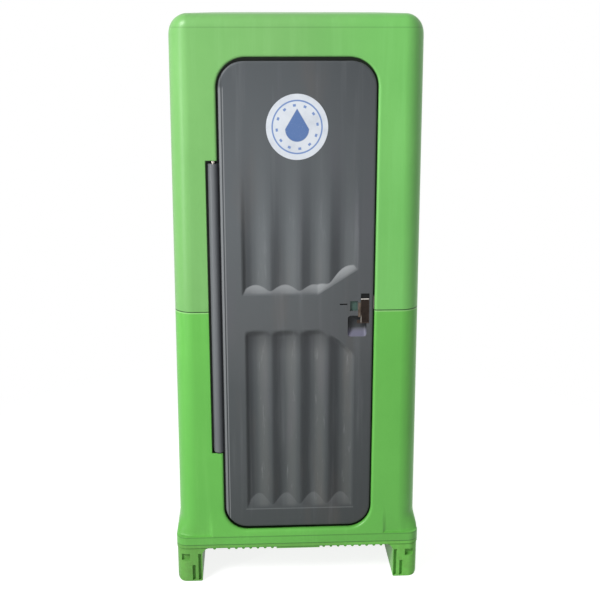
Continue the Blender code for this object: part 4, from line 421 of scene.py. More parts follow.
@dataclass(frozen=True)
class DoorGrey:
    """The door's grey plastic, with painted light and shade: paler on the flutes' lit walls and on
    ledges, darker on their shaded walls along the ridges.
    """

    name: str = "door grey moulded"
    levels: tuple[tuple[float, Colour], ...] = (
        (0.10, tone(67, 71, 72)), (0.36, tone(75, 79, 81)), (0.46, tone(84, 87, 89)),
        (0.66, tone(88, 92, 95)), (0.80, tone(84, 88, 91)), (0.92, tone(76, 80, 83)))
    brown: Colour = tone(98, 90, 85)
    violet: Colour = tone(93, 88, 98)
    pale: Colour = tone(150, 153, 155)
    # Painted shade and light: near black for slots and gaps, grey for shaded pockets and the
    # groove, lit lavender-grey for the finger pocket's floor.
    shade_black: Colour = tone(9, 10, 11)
    shade_grey: Colour = tone(50, 52, 54)
    lit_lavender: Colour = tone(106, 105, 124)
    # Painted light and shade on the flutes: multipliers for their lit walls and their shaded walls.
    upper_light_tint: Colour = (1.24, 1.24, 1.22)
    upper_shade_tint: Colour = (0.70, 0.70, 0.71)
    lower_light_tint: Colour = (1.11, 1.08, 1.06)
    lower_shade_tint: Colour = (0.98, 0.98, 0.99)
    upper: Pair = (-0.2223, 0.2398)
    lower: Pair = (-0.2150, 0.2320)
    flutes: int = 4
    face_y: float = -0.5114
    # How far the painted light and shade are moved towards +X, onto the walls that face the light.
    lit_wall_shift: float = 0.023
    strip_x: float = -0.2845
    slot_corners: tuple[Pair, ...] = ((0.2480, 1.2085), (0.2832, 1.2350))
    key_corners: tuple[Pair, ...] = ((0.1650, 1.1860), (0.1970, 1.1940))
    scoop_corners: tuple[Pair, ...] = ((0.1980, 1.0560), (0.2735, 1.1440))
    scoop_shade_rise: Pair = (1.075, 1.112)
    scoop_light: Pair = (1.094, 1.070)
    upper_open: Pair = (1.36, 1.48)
    upper_fade: Pair = (1.98, 1.24)
    lower_fade: Pair = (1.130, 1.000)
    ledge_light_rise: Pair = (0.95, 1.20)
    foot_line: Triple = (0.3160, 0.0014, 0.0020)
    foot_reach: Triple = (0.008, 0.220, 0.004)
    step_rise: Pair = (0.965, 1.085)
    step_band: Triple = (1.02, 0.10, 0.01)
    step_shade: Colour = tone(54, 56, 58)
    strip_head: Pair = (2.036, 2.020)
    rim_left: Pair = (-0.28, -0.29)
    rim_right: Pair = (0.2930, 0.2965)
    rim_head: Pair = (2.1150, 2.1200)
    zone_edge: float = 0.0006
    back_depths: Pair = (0.0275, 0.0225)

    def behind(self, deep: Dial, low: float, high: float) -> Dial:
        """Go smoothly from 0 to 1 between two depths behind the door's face."""
        return deep.rise(self.face_y + low, self.face_y + high)

    def outward(self, deep: Dial) -> Dial:
        """Be 1 on the door's outer side and in its pockets, and 0 on its inner face."""
        return self.behind(deep, *self.back_depths)

    def waves(self, across: Dial, ends: Pair) -> tuple[Dial, Dial]:
        """Masks of the walls painted lit and the walls painted shaded, from a cosine wave across a
        panel of flutes.

        Args:
            across: The place in X.
            ends: Where the panel starts and ends.

        Returns:
            The mask of the walls painted lit and the mask of the walls painted shaded.
        """
        turn = (across - (ends[0] + self.lit_wall_shift)) * (
            2 * math.pi * self.flutes / (ends[1] - ends[0]))
        wave = 0.5 - (turn + math.pi / 2).wave() * 0.5
        middle, reach = (ends[0] + ends[1]) / 2, (ends[1] - ends[0]) / 2
        inside = across.near(middle, reach - 0.006, 0.018)
        return wave.rise(0.50, 1.0) * inside, wave.rise(0.48, 0.02) * inside

    def zone(self, place: Axes, corners: Sequence[Pair]) -> Dial:
        """Be 1 between two corners in X and Z.

        Args:
            place: The point's X, Y and Z.
            corners: The lower left corner and the upper right one.

        Returns:
            The zone as a mask.
        """
        across, height = (
            axis.near((low + high) / 2, (high - low) / 2, self.zone_edge)
            for axis, low, high in zip(place[::2], *corners))
        return across * height

    def fluted(self, recipe: Recipe, body: Dial, place: Axes) -> Dial:
        """Paint the flutes' lit walls paler and their shaded walls darker, paint highlights on the
        ledges and the lower flutes' foot, and paint shade under the step.

        Args:
            recipe: The material in the making.
            body: The plastic's colour.
            place: The point's X, Y and Z.

        Returns:
            The colour with its painted light and shade.
        """
        across, deep, height = place
        outer = self.outward(deep)
        sunk = self.behind(deep, 0.0006, 0.006) * outer
        rubs = recipe.noise(recipe.scaled(recipe.place(), (70.0, 3.0, 9.0)), 1.0, 5.0, 0.65)
        # Painted light and shade: each flute's lit walls are multiplied paler and its shaded walls
        # darker; pale rubs of wear lie on the lit walls.
        for ends, hollow, ridge, share in (
                (self.upper, self.upper_light_tint, self.upper_shade_tint,
                 sunk.greater(height.rise(*self.upper_open) * outer)
                 * height.rise(*self.upper_fade)),
                (self.lower, self.lower_light_tint, self.lower_shade_tint,
                 sunk * height.rise(*self.lower_fade))):
            lightening, shaded_walls = self.waves(across, ends)
            body = recipe.blend(body, hollow, lightening * share, "MULTIPLY")
            body = recipe.blend(body, ridge, shaded_walls * share, "MULTIPLY")
            body = recipe.blend(body, self.pale, lightening * share * rubs.rise(0.54, 0.80) * 0.20)
        # Painted light: surfaces facing up in the flutes are painted paler, more on deeper and
        # higher ones.
        facing = recipe.axes(recipe.out("ShaderNodeTexCoord", {}, {}, "Normal"))[2]
        ledge_light = height.rise(*self.ledge_light_rise) * 0.33 + 0.32
        crest = self.behind(deep, 0.003, 0.016) * 0.55 + 0.45
        body = recipe.blend(body, self.pale, facing.rise(0.10, 0.50) * sunk * ledge_light * crest)
        # Painted highlight: a pale line along the edge at the lower flutes' foot.
        foot = height.near(*self.foot_line) * across.near(*self.foot_reach)
        body = recipe.blend(body, self.pale, foot * outer * 0.16)
        # Painted shadow under the step where the lower flutes start below the band.
        shade = height.rise(*self.step_rise) * height.near(*self.step_band) * sunk
        return recipe.blend(body, self.step_shade, shade * 0.6)

    def pockets(self, recipe: Recipe, body: Dial, place: Axes) -> Dial:
        """Paint shade into the fittings' pockets and the door's gap, light onto the finger pocket's
        floor, and highlights and a shade line along its hinge side.

        Args:
            recipe: The material in the making.
            body: The plastic's colour.
            place: The point's X, Y and Z.

        Returns:
            The colour with its painted light and shade.
        """
        across, deep, height = place
        sunk = self.behind(deep, 0.0008, 0.0024) * self.outward(deep)
        slot = self.zone(place, self.slot_corners)
        key = self.zone(place, self.key_corners)
        scoop = self.zone(place, self.scoop_corners) * sunk
        # Painted shade in the finger pocket's upper part and painted light on its floor.
        body = recipe.blend(body, self.shade_grey, scoop * height.rise(*self.scoop_shade_rise) * 0.85)
        body = recipe.blend(body, self.lit_lavender, scoop * height.rise(*self.scoop_light) * 0.8)
        # Painted shade: near black in the latch slot and the key slot.
        body = recipe.blend(body, self.shade_black, slot.greater(key) * sunk * 0.97)
        # Painted highlights along the door's hinge-side edge and beside the groove, and a line of
        # painted shade in the groove.
        edge = self.behind(deep, 0.0050, 0.0005) * height.rise(*self.strip_head)
        strip = across.rise(self.strip_x - 0.0010, self.strip_x - 0.0025).greater(
            across.near(self.strip_x + 0.0050, 0.0010, 0.0016))
        body = recipe.blend(body, self.pale, strip * edge * 0.45)
        body = recipe.blend(body, self.shade_grey, across.near(self.strip_x, 0.0008, 0.0014)
                            * self.behind(deep, 0.010, 0.006) * 0.6)
        # Painted shade on the door's edges inside the gap round it.
        rim = (self.behind(deep, 0.0042, 0.0056) * across.rise(*self.rim_left)).greater(
            self.behind(deep, 0.002, 0.005)
            * across.rise(*self.rim_right).greater(height.rise(*self.rim_head)))
        return recipe.blend(body, self.shade_black, rim * 0.95)

    def material(self) -> bpy.types.Material:
        """Build the material: greys by height, painted light and shade on the flutes, painted
        highlights on ledges, painted shade in pockets and gaps.

        Returns:
            The material.
        """
        recipe = Recipe(self.name)
        point = recipe.place()
        place = recipe.axes(point)
        across, _, height = place
        clouds = recipe.noise(point, 4.0, 4.0, 0.55)
        streaks = recipe.noise(recipe.scaled(point, (20.0, 3.0, 1.1)), 1.0, 4.0, 0.55)
        tints = recipe.noise(recipe.scaled(point, (9.0, 2.0, 1.6)), 1.0, 3.0, 0.5)
        body = recipe.out("ShaderNodeValToRGB", {"stops": self.levels},
                          {"Fac": height / 2.3 + (clouds - 0.5) * 0.06})
        body = recipe.blend(body, self.brown, tints.rise(0.54, 0.74) * 0.22)
        body = recipe.blend(body, self.violet, tints.rise(0.46, 0.30) * 0.16)
        # Painted shade: the door is multiplied darker towards its latch side, away from the light.
        body = recipe.blend(body, (0.80, 0.80, 0.80), across.rise(-0.05, 0.29) * 0.9, "MULTIPLY")
        body = self.fluted(recipe, body, place)
        body = recipe.blend(body, tone(122, 124, 127), streaks.rise(0.54, 0.80) * 0.24)
        body = self.pockets(recipe, body, place)
        waves = recipe.bump(recipe.noise(point, 7.0, 1.0, 0.3), 0.0012)
        grain = recipe.bump(recipe.noise(point, 700.0, 2.0, 0.6), 0.00014, waves)
        gloss = clouds * 0.14 + 0.36
        return recipe.feed({"Base Color": body, "Roughness": gloss, "Normal": grain,
                            "Specular IOR Level": 0.18})


@dataclass(frozen=True)
class Metal:
    """Plated steel, brushed one way, with cloudy patches and small dark spots."""

    name: str = "plated steel"
    colour: Colour = tone(176, 170, 160)
    stain: Colour = tone(104, 90, 74)
    roughness: float = 0.30
    brush: Point = (40.0, 900.0, 900.0)
    # Where the painted highlight along the top edge starts, and where a pale line runs down the
    # left rim; 0 for none.
    highlight_z: float = 0.0
    pale_line_x: float = 0.0

    def material(self) -> bpy.types.Material:
        """Build the material: stained patches in the colour, brush lines in gloss and bumps.

        Returns:
            The material.
        """
        recipe = Recipe(self.name)
        place = recipe.place()
        lines = recipe.noise(recipe.scaled(place, self.brush), 1.0, 2.0, 0.6)
        clouds = recipe.noise(place, 30.0, 4.0, 0.6)
        spots = recipe.noise(place, 260.0, 3.0, 0.7)
        body = recipe.blend(self.colour, self.stain, clouds.rise(0.45, 0.75) * 0.7)
        body = recipe.blend(body, tone(60, 50, 42), spots.rise(0.66, 0.78) * 0.5)
        # A pale broken line down the slide's left rim, its sunk face and sides darker below the top
        # edge, and a painted highlight along the top edge.
        if self.highlight_z > 0:
            across, deep, height = recipe.axes(place)
            lightening = across.near(self.pale_line_x, 0.0006, 0.0010) * height.rise(1.150, 1.130) * (
                clouds.rise(0.35, 0.55))
            body = recipe.blend(body, tone(206, 200, 190), lightening * 0.8)
            body = recipe.blend(body, tone(26, 22, 20), deep.rise(-0.5114, -0.5107)
                                * height.rise(self.highlight_z, self.highlight_z - 0.001) * 0.55)
            body = recipe.blend(body, tone(232, 228, 222), height.rise(self.highlight_z,
                                                                      self.highlight_z + 0.0008))
        gloss = lines * 0.16 + clouds * 0.12 + (self.roughness - 0.12)
        brushed = recipe.bump(lines, 0.00006)
        return recipe.feed({"Base Color": body, "Roughness": gloss, "Metallic": 1.0,
                            "Normal": brushed})


@dataclass(frozen=True)
class Tissue:
    """Soft paper or card with fibres, and winding lines on the ends of a roll."""

    name: str
    colour: Colour
    fibre: Colour
    centre: Pair
    winding: float = 0.0

    def material(self) -> bpy.types.Material:
        """Build the material: fibres in colour and bumps, and rings about the roll's axis.

        Returns:
            The material.
        """
        recipe = Recipe(self.name)
        place = recipe.place()
        across, _, height = recipe.axes(place)
        fibres = recipe.noise(place, 420.0, 5.0, 0.7)
        clouds = recipe.noise(place, 40.0, 3.0, 0.5)
        body = recipe.blend(self.colour, self.fibre, fibres.rise(0.40, 0.75) * 0.5 + clouds * 0.2)
        bumps = recipe.bump(fibres, 0.0002)
        if self.winding > 0:
            x, z = across - self.centre[0], height - self.centre[1]
            rings = ((x * x + z * z) ** 0.5 * (2 * math.pi / self.winding)).wave()
            body = recipe.blend(body, self.fibre, rings.rise(0.2, 0.9) * 0.35)
        return recipe.feed({"Base Color": body, "Roughness": 0.88, "Normal": bumps})


@dataclass(frozen=True)
class LabelPrint:
    """A plain round label: off-white, with a pale blue ring of dots and one water drop."""

    name: str = "round label print"
    centre: Pair = (-0.00195, 1.8815)
    half: Pair = (0.117, 0.123)

    def material(self) -> bpy.types.Material:
        """Build the print from masks of the distance and angle about the label's middle.

        Returns:
            The material.
        """
        recipe = Recipe(self.name)
        place = recipe.place()
        across, _, height = recipe.axes(place)
        u = (across - self.centre[0]) / self.half[0]
        v = (height - self.centre[1]) / self.half[1]
        far = (u * u + v * v) ** 0.5
        angle = far.math("ARCTAN2", v, u)
        dots = (angle * 12).wave()
        ring = far.near(0.80, 0.018, 0.012)
        beads = far.near(0.66, 0.030, 0.015) * dots.rise(0.55, 0.75)
        drop_v = v + 0.06
        width = 0.40 - (drop_v.greater(0.0) * 0.62)
        drop = (u * u + (drop_v.lesser(0.0) * drop_v.lesser(0.0))) ** 0.5
        inside = (width - drop).rise(0.0, 0.03) * drop_v.rise(0.66, 0.60)
        clouds = recipe.noise(place, 18.0, 4.0, 0.6)
        specks = recipe.noise(place, 300.0, 3.0, 0.6)
        body = recipe.blend(tone(201, 206, 213), tone(184, 190, 199), clouds.rise(0.4, 0.8))
        body = recipe.blend(body, tone(74, 112, 172), ring.greater(beads) * 0.85)
        body = recipe.blend(body, tone(40, 86, 146), inside * 0.9)
        body = recipe.blend(body, tone(174, 181, 188), specks.rise(0.62, 0.75) * 0.5)
        gloss = clouds * 0.1 + 0.28
        return recipe.feed({"Base Color": body, "Roughness": gloss,
                            "Normal": recipe.bump(clouds, 0.0004)})


class Finish(Enum):
    """The finishes of the cabin's pieces."""

    # seams: heights of painted shade lines along joints and the roof crease; a negative strength
    # paints a highlight line.
    UPPER_GREEN = Moulded(
        "upper shell green", tone(112, 168, 95), tone(101, 158, 86), tone(125, 180, 110),
        dirt=0.3, gap_shade=True, right_tint=(1.0, 1.22, 0.99), roughness=0.33, gloss=0.34, fade=0.45,
        seams=((1.1656, 0.85), (2.2435, 0.18)))
    LOWER_GREEN = Moulded(
        "lower shell green", tone(97, 175, 74), tone(87, 163, 66), tone(113, 189, 90),
        dirt=0.30, gap_shade=True, roughness=0.33, gloss=0.34, fade=0.45,
        seams=((1.1656, 0.85), (1.1612, -0.30), (0.1652, 0.65), (0.1992, 0.35)))
    BASE_GREEN = Moulded(
        "base green", tone(104, 168, 79), tone(90, 150, 69), tone(120, 184, 97),
        dirt=0.4, fade=0.5, seams=((0.1500, 0.5),), gloss=0.12, right_tint=(1.24, 1.36, 1.20))
    DOOR = DoorGrey()
    # The barrel's side towards the door carries painted shade.
    BARREL = Moulded(
        "hinge barrel grey", tone(98, 101, 104), tone(86, 89, 92), tone(116, 118, 120),
        roughness=0.34, shaded_side=(-0.322, -0.303))
    FLOOR_GREY = Moulded(
        "floor panel grey", tone(104, 106, 108), tone(86, 88, 90), tone(128, 128, 126),
        dirt=0.6, dirt_top=1.2, grain=0.0004, grain_scale=260.0)
    TANK_BLACK = Moulded(
        "tank black", tone(56, 57, 60), tone(43, 44, 47), tone(74, 75, 78),
        roughness=0.40, fade=0.5, gloss=0.45)
    SEAT_BLACK = Moulded(
        "seat black", tone(40, 41, 43), tone(32, 33, 35), tone(58, 59, 61),
        roughness=0.32, fade=0.3, wave=0.0004, grain=0.00005)
    FITTING_BLACK = Moulded(
        "fitting black", tone(36, 37, 38), tone(28, 28, 29), tone(56, 56, 58),
        roughness=0.42, fade=0.4)
    PALE_GREY = Moulded(
        "fitting pale grey", tone(172, 174, 176), tone(156, 158, 160), tone(190, 192, 193),
        roughness=0.36)
    WHITE = Moulded(
        "urinal white", tone(226, 229, 231), tone(214, 217, 219), tone(236, 238, 239),
        roughness=0.24, wave=0.0008)
    STEEL = Metal()
    RUBBER = Moulded("rubber", tone(40, 40, 40), tone(30, 30, 30), tone(54, 54, 54), 0.7)
    FLAG = Moulded("indicator green", tone(60, 84, 76), tone(50, 74, 66), tone(74, 98, 88), 0.4)
    LATCH_STEEL = Metal(
        "worn dark latch steel", tone(70, 61, 56), tone(30, 26, 24), 0.34, (60.0, 900.0, 900.0),
        1.2088, 0.2505)
    GUIDE_STEEL = Metal("worn guide steel", tone(112, 100, 90), tone(66, 56, 48), 0.36)
    PAPER = Tissue(
        "tissue paper", tone(236, 234, 228), tone(222, 219, 211), (0.40837, 0.88), 0.0016)
    CARD = Tissue("card core", tone(168, 144, 112), tone(146, 122, 92), (0.40837, 0.88))
    LABEL = LabelPrint()


class Paintbox:
    """Makes each finish's material once and hands it out."""

    _made: dict[str, bpy.types.Material] = {}

    @classmethod
    def get(cls, finish: Finish) -> bpy.types.Material:
        """The material of a finish."""
        if finish.name not in cls._made:
            cls._made[finish.name] = finish.value.material()
        return cls._made[finish.name]


def placed(name: str, data: bpy.types.ID) -> Piece:
    """Put a new object into the scene.

    Args:
        name: The object's name.
        data: Its mesh, lamp or camera.

    Returns:
        The object.
    """
    made = bpy.data.objects.new(name, data)
    bpy.context.scene.collection.objects.link(made)
    return made


def meshed(name: str, points: Array, faces: list[list[int]], solid: bool) -> Piece:
    """Make an object from points and faces.

    Args:
        name: The object's name.
        points: The points, in an array of any shape whose last axis is X, Y and Z.
        faces: The faces as numbers of points.
        solid: Whether it is closed, so that its faces are turned outwards.

    Returns:
        The object.
    """
    mesh = bpy.data.meshes.new(name)
    mesh.from_pydata(points.reshape(-1, 3).tolist(), [], faces)
    if solid:
        work = bmesh.new()
        work.from_mesh(mesh)
        bmesh.ops.recalc_face_normals(work, faces=work.faces)
        work.to_mesh(mesh)
        work.free()
    return placed(name, mesh)


def surface(name: str, grid: Array, wrap: bool = True, closed: bool = False) -> Piece:
    """Make a mesh from a grid of points; rows join to rows, and columns run round.

    Args:
        name: The object's name.
        grid: Points by row, column and axis.
        wrap: Whether each row runs round on itself.
        closed: Whether the last row joins the first; otherwise both ends are capped.

    Returns:
        The object, with its faces pointing outwards.
    """
    rows, columns = grid.shape[:2]
    index = np.arange(rows * columns).reshape(rows, columns)
    if wrap:
        index = np.hstack((index, index[:, :1]))
    if closed:
        index = np.vstack((index, index[:1]))
    quads = np.stack((index[:-1, :-1], index[:-1, 1:], index[1:, 1:], index[1:, :-1]), axis=-1)
    faces = quads.reshape(-1, 4).tolist()
    if wrap and not closed:
        faces.append(list(range(columns))[::-1])
        faces.append(list(range((rows - 1) * columns, rows * columns)))
    return meshed(name, grid, faces, wrap)


def shells(name: str, grids: Array) -> Piece:
    """Make one mesh from many small closed grids of one size.

    Args:
        name: The object's name.
        grids: Points by shell, row, column and axis; rows run round and both ends are capped.

    Returns:
        The object, with its faces pointing outwards.
    """
    index = np.arange(grids.size // 3).reshape(grids.shape[:3])
    ends = index[:, 0, ::-1].tolist() + index[:, -1].tolist()
    index = np.concatenate((index, index[:, :, :1]), axis=2)
    quads = np.stack((index[:, :-1, :-1], index[:, :-1, 1:], index[:, 1:, 1:], index[:, 1:, :-1]),
                     axis=-1)
    return meshed(name, grids, quads.reshape(-1, 4).tolist() + ends, True)


def oval(half: Sequence[float], middle: float, power: float = 2.0, points: int = 72) -> Array:
    """A superellipse in X and Y: each half size times the sine or cosine to the power 2 / power.

    Args:
        half: Its half sizes.
        middle: Its middle in Y.
        power: How full it is; 2 is an ellipse.
        points: How many points it has.

    Returns:
        The points.
    """
    turn = np.arange(points) * 2 * math.pi / points
    wave = np.stack((np.cos(turn), np.sin(turn)), axis=-1)
    return np.sign(wave) * np.abs(wave) ** (2 / power) * np.array(half) + np.array((0, middle))


def rounded_outline(low: Sequence[float], high: Sequence[float], radii: Sequence[float],
                    steps: int = 12) -> tuple[Array, Array]:
    """Points of a rounded rectangle: each corner is an arc about its centre.

    Args:
        low: The lower left corner.
        high: The upper right corner.
        radii: A radius for each corner, from the lower right on, against the clock.
        steps: How many steps each arc takes.

    Returns:
        The points and their outward normals.
    """
    corners = np.array(((high[0], low[1]), high, (low[0], high[1]), low), float)
    inward = np.array(((-1, 1), (-1, -1), (1, -1), (1, 1)), float)
    sizes = np.array(radii, float)[:, None]
    turn = np.linspace(0, math.pi / 2, steps + 1) + (np.arange(4)[:, None] - 1) * math.pi / 2
    normals = np.stack((np.cos(turn), np.sin(turn)), axis=-1)
    points = (corners + sizes * inward)[:, None] + sizes[:, :, None] * normals
    return points.reshape(-1, 2), normals.reshape(-1, 2)


def layers(low: Sequence[float], high: Sequence[float], radius: float,
           steps: Sequence[Pair], least: float = 0.0,
           rounding: int = 6) -> tuple[Array, Array]:
    """Rounded rectangles: each is drawn in by an inset, and its corners' radius loses it too.

    Args:
        low: The lower left corner.
        high: The upper right corner.
        radius: The corners' radius at inset 0.
        steps: The inset and the level of each.
        least: The smallest radius.
        rounding: How many steps each corner takes.

    Returns:
        The outlines and their levels, ready for flat or upright.
    """
    rings = [rounded_outline((low[0] + inset, low[1] + inset), (high[0] - inset, high[1] - inset),
                             (max(radius - inset, least),) * 4, rounding)[0] for inset, _ in steps]
    return np.stack(rings), np.array([level for _, level in steps])


def rolled(end: float, radius: float, edge: float) -> tuple[Pair, ...]:
    """Profile points of a rolled edge: full radius, a little less, then drawn in by the edge.

    Args:
        end: Where the profile ends along its axis.
        radius: The full radius.
        edge: The edge's size; below 0, the edge lies at the profile's start.

    Returns:
        Places along the axis with their radii, towards the end.
    """
    size = abs(edge)
    return ((end - edge, radius), (end - edge * ROLL, radius - size * ROLL), (end, radius - size))


def smooth(share: Array) -> Array:
    """Smooth step of a share t, kept within 0 and 1: t times t times 3 - 2 t."""
    kept = np.clip(share, 0, 1)
    return kept * kept * (3 - 2 * kept)


def flat(outlines: Array, heights: Array) -> Array:
    """Lay outlines in X and Y at given heights as the rows of a grid."""
    levels = np.broadcast_to(np.asarray(heights)[:, None, None], (*outlines.shape[:2], 1))
    return np.concatenate((outlines, levels), axis=-1)


def upright(outlines: Array, depths: Array) -> Array:
    """Stand outlines in X and Z at given depths in Y as the rows of a grid."""
    level = np.broadcast_to(np.asarray(depths)[:, None, None], (*outlines.shape[:2], 1))
    return np.concatenate((outlines[..., :1], level, outlines[..., 1:]), axis=-1)


def prism(name: str, outline: Array, ends: Sequence[float],
          lay: Callable[[Array, Array], Array] = upright) -> Piece:
    """Draw an outline straight on from one end to the other.

    Args:
        name: The object's name.
        outline: The outline's points.
        ends: Where it starts and ends.
        lay: How it lies, flat or upright.

    Returns:
        The prism.
    """
    return surface(name, lay(np.stack((outline, outline)), np.array(ends)))


def block(name: str, low: Sequence[float], high: Sequence[float]) -> Piece:
    """A block between two corners, used to carve or to join.

    Args:
        name: The object's name.
        low: Its lowest corner.
        high: Its highest corner.

    Returns:
        The block.
    """
    return prism(name, rounded_outline(low[:2], high[:2], (0.0,) * 4, 0)[0],
                 (low[2], high[2]), flat)


def turned(name: str, profile: Sequence[Sequence[float]], centre: Point, axis: str = "z",
           sides: int = 48, ring: bool = False) -> Piece:
    """Turn a profile about an axis: each profile point becomes a circle.

    Args:
        name: The object's name.
        profile: Distances along the axis with their radii.
        centre: The point that the distances start from.
        axis: The axis, x, y or z.
        sides: Points round the circle.
        ring: Whether the profile closes on itself, as a tube's does.

    Returns:
        The turned piece.
    """
    along, radius = np.array(profile, float).T
    turn = np.arange(sides) * 2 * math.pi / sides
    round_ = radius[:, None, None] * np.stack((np.cos(turn), np.sin(turn)), axis=-1)
    grid = flat(round_, along)
    order = {"x": (2, 0, 1), "y": (0, 2, 1), "z": (0, 1, 2)}[axis]
    return surface(name, grid[..., order] + np.array(centre), closed=ring)


def carve(piece: Piece, kind: str, *tools: Piece) -> Piece:
    """Cut, join or keep the overlap of a piece and other shapes, which are used up.

    Args:
        piece: The piece that is changed.
        kind: DIFFERENCE, UNION or INTERSECT.
        tools: The other shapes.

    Returns:
        The piece.
    """
    for tool in tools:
        step = piece.modifiers.new("carve", "BOOLEAN")
        step.operation, step.solver, step.object = kind, "EXACT", tool
    graph = bpy.context.evaluated_depsgraph_get()
    mesh = bpy.data.meshes.new_from_object(piece.evaluated_get(graph))
    piece.modifiers.clear()
    piece.data = mesh
    for tool in tools:
        bpy.data.objects.remove(tool)
    return piece


def dress(piece: Piece, finish: Finish, angle: float = 32.0,
          edge: float = 0.0) -> Piece:
    """Give a piece its finish, round its edges and even out its shading.

    Args:
        piece: The piece.
        finish: Its finish.
        angle: Edges sharper than this stay sharp, or are rounded, in degrees.
        edge: The width of the rounded edges, or 0 for none.

    Returns:
        The piece.
    """
    mesh = piece.data
    mesh.materials.clear()
    mesh.materials.append(Paintbox.get(finish))
    mesh.polygons.foreach_set("material_index", np.zeros(len(mesh.polygons), np.int32))
    mesh.shade_smooth()
    if edge > 0:
        bevel = piece.modifiers.new("rounded edges", "BEVEL")
        bevel.width, bevel.segments, bevel.limit_method = edge, EDGE_FACES, "ANGLE"
        bevel.angle_limit = math.radians(angle)
        bevel.use_clamp_overlap = True
        bevel.miter_outer = "MITER_ARC"
        bevel.harden_normals = False
    else:
        mesh.set_sharp_from_angle(angle=math.radians(angle))
    even = piece.modifiers.new("even shading", "WEIGHTED_NORMAL")
    even.keep_sharp, even.weight = True, 80
    mesh.update()
    return piece


def publish(piece: Piece, body: str, slot: str, *nodes: str) -> Piece:
    """Hang a piece on its body and let it stand for its CAD nodes.

    Args:
        piece: The finished piece.
        body: The CAD body that it moves with.
        slot: The record's material slot; not used.
        nodes: The CAD nodes that it replaces.

    Returns:
        The piece.
    """
    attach(piece, body)
    if nodes:
        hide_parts(*nodes)
    LOG.info("%s: %d faces on body %s", piece.name, len(piece.data.polygons), body)
    return piece


def copied(node: str) -> Piece:
    """A copy of a CAD node with its double points merged and its flat faces joined.

    Args:
        node: The CAD node's name.

    Returns:
        The copy.
    """
    work = bmesh.new()
    work.from_mesh(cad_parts[node].data)
    bmesh.ops.remove_doubles(work, verts=work.verts, dist=MERGE_DISTANCE)
    bmesh.ops.dissolve_limit(work, angle_limit=math.radians(FLAT_ANGLE),
                             verts=work.verts, edges=work.edges)
    mesh = bpy.data.meshes.new(node + "_formed")
    work.to_mesh(mesh)
    work.free()
    return placed(node + "_formed", mesh)


def reworked(node: str, finish: Finish, body: str, slot: str, edge: float) -> Piece:
    """A copy of a CAD node with its points merged and its edges rounded.

    Args:
        node: The CAD node's name.
        finish: The finish of the copy.
        body: The body that it rides on.
        slot: The record's material slot.
        edge: The width of the rounded edges.

    Returns:
        The copy.
    """
    return publish(dress(copied(node), finish, edge=edge), body, slot, node)


@dataclass
class CabinForm:
    """The cabin's outer sizes and the outlines that its pieces share."""

    base_width: float = 1.010
    base_depth: float = 1.060
    height: float = 2.300
    crown: float = 0.006
    rim_step: float = 0.0146
    rim_top: float = 0.2028
    deck_top: float = 0.1642
    flare_top: float = 0.285
    panel_foot: float = 0.345
    seam: float = 1.1656
    draft: float = 0.0063
    wall: float = 0.006
    corner: float = 0.075
    rim_corner: float = 0.045
    top_side: float = 0.088
    top_front: float = 0.055
    top_fullness: float = 2.5
    gap: float = 0.0003
    reach: float = 0.040

    @property
    def front(self) -> float:
        """The facade's depth in Y."""
        return self.rim_step - self.base_depth / 2

    @property
    def roof_edge(self) -> float:
        """The roof's height along its edge."""
        return self.height - self.crown

    def half_width(self, z: float | Array) -> float | Array:
        """Half the body's outer width at a height: it draws in evenly upwards."""
        return self.base_width / 2 - self.rim_step - self.draft * (z - self.deck_top)

    def back(self, z: float | Array) -> float | Array:
        """The back wall's outer face at a height: it draws in evenly upwards."""
        return self.base_depth / 2 - self.rim_step - self.draft * (z - self.deck_top)

    def outline(self, z: float, offset: float, radius: float) -> tuple[Array, Array]:
        """The body's outline at a height, moved outwards by an offset.

        Args:
            z: The height.
            offset: How far outwards it lies.
            radius: Its corners' radius.

        Returns:
            The points and their outward normals.
        """
        half = self.half_width(z) + offset
        return rounded_outline((-half, self.front - offset), (half, self.back(z) + offset),
                               (radius,) * 4, 14)

    def top_grid(self, offset: float, steps: int = 18) -> Array:
        """The rounded top edge: each outline point moves inwards by a quarter superellipse.

        Args:
            offset: How far outside the body's face it lies.
            steps: Rows in the rounding.

        Returns:
            The rows of points.
        """
        points, normals = self.outline(self.roof_edge, offset, self.corner + offset)
        edge = self.top_side * normals[:, 0] ** 2 + self.top_front * normals[:, 1] ** 2 + offset
        turn = np.linspace(0, math.pi / 2, steps + 1)[:, None]
        full = 2 / self.top_fullness
        inward = (edge * (1 - np.clip(np.cos(turn), 0, 1) ** full))[..., None]
        fall = (edge * (1 - np.sin(turn) ** full))[..., None]
        return np.concatenate((points - normals * inward, self.roof_edge + offset - fall), axis=-1)

    def panel_out(self, z: Array) -> Array:
        """How far the wall between the posts stands out: 1 - t to a power, times the rim's step."""
        share = np.clip((z - self.rim_top) / (self.panel_foot - self.rim_top), 0, 1)
        return self.rim_step * (1.015 * (1 - share) ** 1.9 - 0.02)


